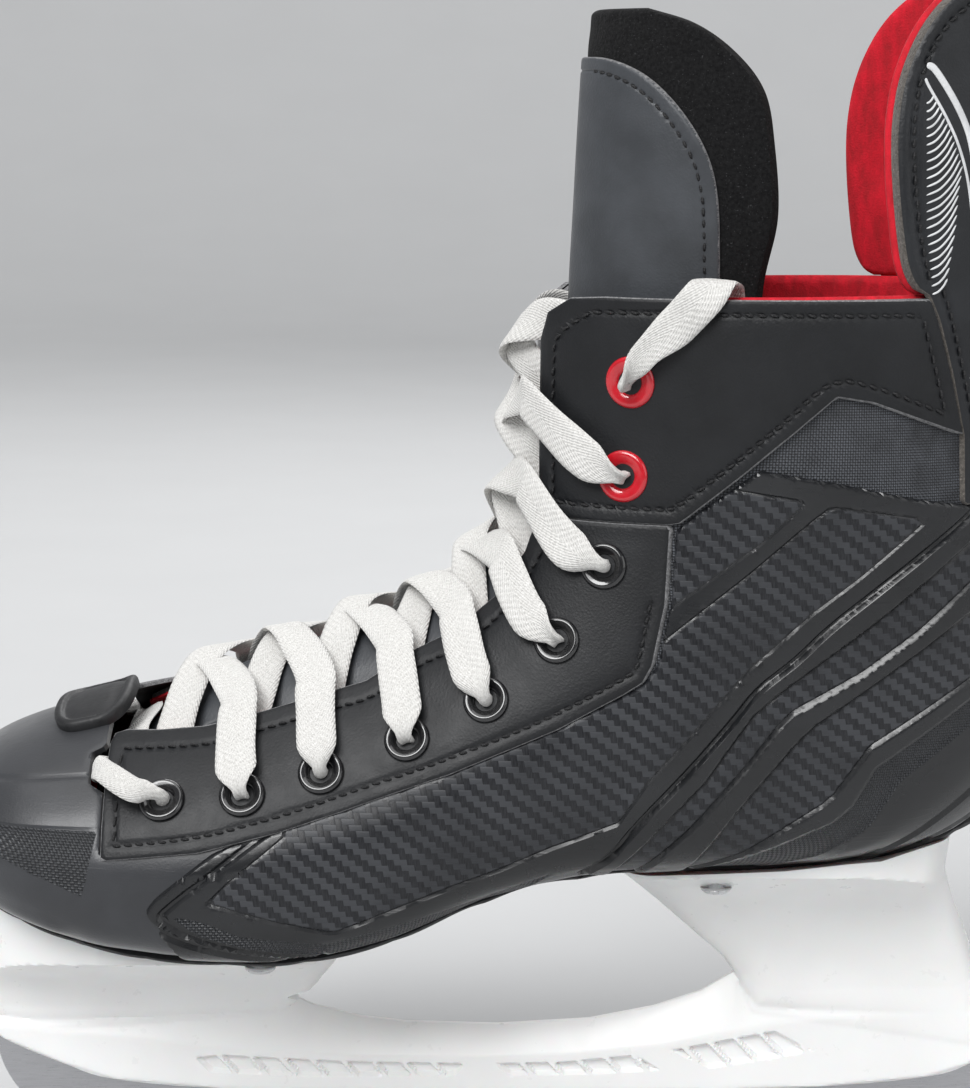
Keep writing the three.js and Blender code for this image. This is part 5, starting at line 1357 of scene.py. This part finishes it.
obj = mesh_object("footbed_foam", *sweep(ring), [M["foam"]])
settle(obj, "skate", ["footbed"])

# ------------------------------------------------------------------ tongue
# Stations up the tongue: front x, z, wing direction x, z, width axis, depth axis, half angle that the felt spans.
TONGUE = np.array([
    [-85, 86.5, 0.1, -1, 24, 18, 0.8], [-76, 90.6, 0.15, -1, 25, 24, 0.85], [-61, 101.6, 0.2, -0.98, 26, 50, 0.8],
    [-45, 108, 0.3, -0.95, 28, 68, 0.8], [-30, 113.2, 0.36, -0.93, 28, 68, 0.8], [-16.5, 118.6, 0.5, -0.87, 27,
                                                                                  62, 0.85],
    [-5, 126, 0.7, -0.71, 26, 50, 0.95], [4, 136, 0.85, -0.5, 26, 44, 1.1], [10, 147, 0.95, -0.3, 25, 42, 1.25],
    [13.5, 160, 1, -0.1, 25, 41, 1.4], [15, 174, 1, 0, 24.6, 41, 1.46], [15.6, 189, 1, 0, 24.7, 41, 1.48],
    [16.3, 202, 1, 0, 26, 42, 1.5], [17, 216, 1, 0, 27, 42, 1.46], [17.6, 227, 1, 0, 27, 42.5, 1.38],
    [18.1, 235, 1, 0, 27, 42.5, 1.21], [18.5, 240.5, 1, 0, 27, 42.5, 0.98], [18.7, 243.4, 1, 0, 27, 42.5, 0.68],
])
TONGUE_BEND = ("tongue_top", (0.0143, 0, 0.1830), (0.0143, 0, 0.1970))
COVER_END = cut_corners([
    [-95, 60], [-95, 234.4], [18, 234.1], [24, 233.3], [31.8, 229.1], [39.7, 219.4], [43.8, 209.6],
    [44.6, 196], [44.6, 176], [60, 60]])
COVER_SEAM = 2.8  # mm from the cover's rim to its stitches
TONGUE_STOPS = len(TONGUE) - 1


def tongue_skin(s, share, depth):
    row = catmull(TONGUE, np.asarray(s, float))
    x, z, dx, dz, w, deep, span = np.moveaxis(row, -1, 0)
    angle, size = span * share, np.hypot(dx, dz)
    n = unit(np.stack([deep * np.sin(angle), -w * np.cos(angle)], -1))
    y = w * np.sin(angle) + n[..., 0] * depth + 4.5 * toe_share(x)
    out = deep * (1 - np.cos(angle)) + 0.6 + n[..., 1] * depth
    return np.stack([x + dx / size * out, y, z + dz / size * out], -1)


def on_tongue(s):
    """The felt's half width, and the distance from one station to the next, in mm."""
    row = catmull(TONGUE, s)
    half = row[:, 6] * (row[:, 4] * 0.45 + row[:, 5] * 0.45)
    above, below = (catmull(TONGUE, np.clip(s + step, 0, TONGUE_STOPS)) for step in (0.1, -0.1))
    return half, np.hypot(*(above - below)[:, :2].T) / 0.2


felt = Patch(((0, TONGUE_STOPS), (-1, 1)), (330, 90), "tongue")
s, share = felt.P.T
half, pace = on_tongue(s)
edge = np.minimum((1 - np.abs(share)) * half, (TONGUE_STOPS - s) * pace)
swell = 0.35 * ramp(edge, 1, 8) * (0.5 + 0.5 * np.sin(s * 4.2 + np.cos(share * 5)))
soft = edge_round(edge, 1.9)
felt_obj = felt.build("tongue_felt", -soft * 0.95 - 0.1 + swell * 0.4, -4.2 + soft * 0.95 - swell * 0.5, [M["felt"]])
settle(felt_obj, "skate", ["tongue_felt_lower", "tongue_felt_upper"], second=TONGUE_BEND)

cover = Patch(((0.6, TONGUE_STOPS), (-1, 1)), (330, 100), "tongue")


def cover_field(q):
    """Distance in mm inside the cover's outline."""
    s, share = q.P.T
    half, _ = on_tongue(s)
    flat = q.flat()
    limit = 0.76 + 0.26 * ramp(flat[:, 1], 172, 196)
    return np.minimum(np.minimum((limit - np.abs(share)) * half, inside(COVER_END, flat)), (s - 0.8) * 10)


centre_gap = lambda q: np.abs(q.P[:, 1]) * on_tongue(q.P[:, 0])[0]
cover.split(cover_field, keep=True).split(cover_field, 0.3, 0.8, 2.4, 3.2).split(centre_gap, 0.25, 0.8)
f, centre = cover_field(cover), centre_gap(cover)
seam = np.minimum(np.abs(f - COVER_SEAM), 2)
depth = 1.25 - edge_round(f, 0.8) * 0.8 - 0.3 * (1 - ramp(seam, 0.0, 0.5)) - 0.35 * (1 - ramp(centre, 0.2, 0.8))
depth += 0.25 * ramp(f, 3.4, 9) * ramp(centre, 0.8, 5)
# the cover's leather carries a painted highlight
obj = cover.build("tongue_cover", depth, 0.15, [M["cover_skin_painted_highlight"], M["edge"]], edge_mark(cover_field, 0.2),
                  rim_material=1)
settle(obj, "skate", ["tongue_cover_lower", "tongue_cover_upper"], second=TONGUE_BEND)


def cover_line():
    """Places a stitch inset from the cover's rim, from one side over the half moon to the other."""
    probe = Patch(((0, 1), (0, 1)), (1, 1), "tongue")
    share = np.linspace(0, 1.02, 400)
    found = []
    for s in np.linspace(10.6, 15.2, 160):
        probe.P = np.column_stack([np.full(400, s), share])
        ok = np.nonzero(cover_field(probe) > COVER_SEAM)[0]
        if len(ok):
            found.append((s, share[ok[-1]]))
    return np.array([*found, *((s, -v) for s, v in found[::-1])])


line = cover_line()
at = tongue_skin(*line.T, 1.1)
read = stitch_spots(at)
ups = unit(read(at - tongue_skin(*line.T, 0), 0))
obj = mesh_object("tongue_thread", *thread(read(at, -STITCH_HALF), read(at, STITCH_HALF), ups), [M["thread"]])
settle(obj, "skate", second=TONGUE_BEND)

# ------------------------------------------------------------------ holder and rivets
RAIL_LOW = [[-112, 29], [-106.7, 24.3], [-94, 18.7], [-83, 15.1], [-60, 13], [-30, 12.3], [0, 12.2], [40, 12.5],
            [70, 13.4], [93, 15.6], [102, 18.4], [106.5, 22]]
RIDGE = [[-46, 33.6], [-40, 30.6], [-30, 28], [-20, 26.8], [0, 26.2], [20, 27.4], [34, 30.2], [44, 33.6],
         [51.5, 38.6]]
CREASE = [[-120, 28], [-75, 23.6], [-56, 21.6], [-32, 20.2], [-8, 19.8], [14, 20.4], [36, 22.6], [60, 27.4],
          [75, 29], [120, 30]]
FRONT_PILLAR = [[-113.4, 34], [-112, 66], [-24, 66], [-28.6, 52], [-31.5, 46], [-35.4, 40.4], [-40, 34.6],
                [-46, 30], [-100, 26], [-112, 28]]
REAR_PILLAR = [[55, 30], [52, 37.6], [48.6, 42], [40, 49.6], [28.6, 60], [20, 68], [20, 84], [99, 84],
               [96, 62.4], [101, 47.4], [107, 30], [106.5, 22]]
POCKETS = [
    [[-66, 20.4], [-60, 21], [-34, 19.6], [-6, 19.1], [-9, 16], [-40, 15.8], [-62, 16.8]],
    [[-1, 19.1], [14, 19.4], [30, 21], [36, 17.2], [20, 16.3], [3, 16]],
    [[37, 22], [60, 26.4], [69, 21.6], [46, 17.6]],
]
RIVET_SPOTS = [(-86, 15), (-86, -11), (-50, 17), (-50, -17), (46, 16), (46, -16), (80, 12), (80, -12)]


def under_sole(x, y):
    """Height of the outsole's underside over a place."""
    t = np.interp(x, SECTIONS[:16, 0], np.arange(16))
    row = catmull(SECTIONS, np.asarray(t, float))
    share = np.clip(np.abs(y - row[..., 8]) / row[..., 4], 0, 0.98)
    rise = row[..., 5] * (1 - (1 - share ** row[..., 6]) ** (1 / row[..., 6])) * (row[..., 3] - row[..., 1])
    return sole_z(x) + rise - 2.75


def lobe(flat, outline, low, high, top, roundness, plan):
    """Half width of a pillar that flares from z low to z high, inside an oval plan (centre, reach, half width)."""
    f = inside(outline, flat)
    s = np.clip(f / roundness, 0, 1)
    k = np.clip((flat[:, 1] - low) / (high - low), 0, 1)
    flare = 5.2 + 0.9 * ramp(k, 0, 0.5) + (top - 6.1) * k**3.4
    centre, reach, wide = plan
    limit = wide * np.sqrt(np.clip(1 - ((flat[:, 0] - centre) / reach) ** 2, 0.0025, 1))
    return np.minimum(flare, limit) * (1 - (1 - s) ** 2.4) ** (1 / 2.4)


def holder_half(flat):
    """The holder's half width at side-view places: a rail and two pillars, with ribbed pockets."""
    x, z = flat.T
    ridge = np.interp(x, *np.array(RIDGE).T)
    crease = np.interp(x, *np.array(CREASE).T)
    rail = 5.2 * np.clip((ridge + 0.5 - z) / (ridge - crease), 0, 1) ** 0.8
    low = np.interp(x, *np.array(RAIL_LOW).T)
    rail = np.minimum(rail, 5.2 - edge_round(z - low, 0.8))
    front = lobe(flat, FRONT_PILLAR, 30, 47, 25, 9, (-66, 45.5, 27))
    rear = lobe(flat, REAR_PILLAR, 38, 65, 22, 8, (58, 50, 23))
    wide = np.maximum(front, rear)
    h = np.maximum(rail, wide)
    mix = np.clip(0.5 + (rail - wide) / 6, 0, 1)
    h = h + 6 * mix * (1 - mix) * 0.22 * (np.minimum(rail, wide) > 0.4)
    for pocket in POCKETS:
        f = inside(pocket, flat)
        rib = ramp(np.abs(((x + z * 0.9) / 6.4) % 1 - 0.5) * 6.4, 0.5, 1.0)
        h = h - 1.5 * ramp(f, 0, 0.9) * rib
    return h


SILHOUETTE = [*smooth_line([*RAIL_LOW, [107.4, 30], [101.4, 47.4], [96.6, 62.4], [98, 84]], 5), [20, 84],
              [20, 68], *REAR_PILLAR[4:0:-1], [51.6, 38.2], *RIDGE[-2::-1], *FRONT_PILLAR[6:1:-1], [-112, 66],
              [-113.4, 34]]


def two_sided(name, box, counts, fields, half, material, top=None):
    """A solid from two mirrored walls that meet in the middle plane. half gives the half width at places (x, z).
    Outside either of the first two fields nothing is kept."""
    verts, faces = [], []
    for side, _ in SIDES:
        wall = Patch(box, counts, "wall", side)
        for k, field in enumerate(fields):
            wall.split(lambda q, field=field: field(q, side), keep=k < 2)
        obj = wall.build(name, np.maximum(half(wall.P), 0.04), 0.0, [material], closed=False)
        start = sum(map(len, verts))
        verts.append(np.array([v.co[:] for v in obj.data.vertices]) / MM)
        faces += [tuple(i + start for i in p.vertices) for p in obj.data.polygons]
        bpy.data.objects.remove(obj)
    verts = np.concatenate(verts)
    if top is not None:
        middle = np.abs(verts[:, 1]) < 1e-6
        verts[middle, 2] = np.minimum(verts[middle, 2], top(verts[middle, 0], 0))
    obj = mesh_object(name, verts, faces, [material])
    mend(obj, 0.02)
    obj.data.set_sharp_from_angle(angle=math.radians(40))
    return obj


holder_fields = [lambda q, side: inside(SILHOUETTE, q.P),
                 lambda q, side: under_sole(q.P[:, 0], -side * holder_half(q.P)) - q.P[:, 1]]
holder_fields += [lambda q, side, p=p, level=level: inside(p, q.P) - level for p in POCKETS for level in (0, 0.8)]
obj = two_sided("holder_moulding", ((-114, 108), (11, 80)), (400, 124), holder_fields, holder_half, M["holder"],
                under_sole)
settle(obj, "skate", ["holder"])

RUNNER_EDGE = [[-109.5, 26], [-107.5, 17.5], [-103, 10.5], [-95, 5], [-84, 2], [-66, 0.6], [-45, 0.12],
               [-30, 0], [0, 0], [30, 0], [50, 0.15], [70, 0.6], [86, 1.8], [96, 4.4], [102.5, 8.6], [105.3, 13.5],
               [105, 18.6]]
edge = smooth_line(RUNNER_EDGE, 6)
blade = np.array([*edge, [96, 19.6], [80, 18.6], [-60, 18.6], [-82, 20], [-94, 23], [-104.5, 28]])
blade[:, 1] = np.maximum(blade[:, 1], 0)
blade_fields = [lambda q, side: inside(blade, q.P), lambda q, side: 1 + q.P[:, 1],
                lambda q, side: inside(blade, q.P) - 0.3]
obj = two_sided("runner_blade", ((-111, 107), (-0.5, 29)), (327, 44), blade_fields,
                lambda p: 1.5 - edge_round(inside(blade, p), 0.3), M["steel"])
settle(obj, "skate", ["runner"])

for k, (x, y) in enumerate(RIVET_SPOTS):
    foot = sole_z(x) - 5.8
    profile = [(0.0, -1.3), (1.4, -1.25), (2.6, -0.9), (3.2, -0.35), (3.3, 0.0), (1.8, 0.05), (1.8, 8.6),
               (2.9, 8.7), (2.7, 9.2), (0.0, 9.8)]
    obj = mesh_object(f"rivet_head_{k + 1}", *turned(profile, np.array([x, y, foot]), [0, 0, 1], 28), [M["bolt"]])
    settle(obj, "skate", [f"rivet_{k + 1}"])

# ------------------------------------------------------------------ light and floor
def area(name, at, size, power):
    data = bpy.data.lights.new(name, "AREA")
    data.shape, data.size, data.size_y, data.energy = "RECTANGLE", *size, power
    lamp = bpy.data.objects.new(name, data)
    lamp.location = at
    lamp.rotation_euler = (Vector((0, 0, 0.12)) - lamp.location).to_track_quat("-Z", "Y").to_euler()
    scene.collection.objects.link(lamp)


area("key", (-0.6, -1.0, 1.2), (0.8, 0.6), 8)
area("fill", (1.1, -0.9, 0.7), (1.0, 1.0), 3)
area("back", (0.3, 1.1, 1.0), (1.2, 0.7), 8)
area("top", (-0.25, -0.1, 1.5), (1.2, 1.2), 7)
sun = bpy.data.objects.new("sun", bpy.data.lights.new("sun", "SUN"))
sun.data.energy, sun.data.angle = 1.7, 0.7
sun.rotation_euler = Vector((0.35, 0.75, -0.75)).to_track_quat("-Z", "Y").to_euler()
scene.collection.objects.link(sun)
scene.view_settings.view_transform = "Standard"
world = bpy.data.worlds.new("studio")
world.use_nodes = True
world.node_tree.nodes["Background"].inputs[0].default_value = (0.93, 0.94, 0.96, 1)
world.node_tree.nodes["Background"].inputs[1].default_value = 0.32
scene.world = world

floor_shader = Shader("floor_paint", (0.56, 0.565, 0.57), 0.85)
floor_shader.speckle((0.555, 0.56, 0.565), (0.565, 0.57, 0.575), 0.01, 0.03)
ring = np.linspace(0, 2 * np.pi, 96, endpoint=False)
disc = np.stack([np.cos(ring), np.sin(ring), np.zeros(96)], -1)
sweep_up = [(2000 + 1500 * math.sin(a), 1500 - 1500 * math.cos(a)) for a in np.linspace(0, 1.45, 14)]
rings = [disc * r + [0, 0, h - 0.4] for r, h in [(1, 0), (400, 0), (1200, 0), *sweep_up]]
floor = mesh_object("floor", *sweep(rings, False), [floor_shader.material])
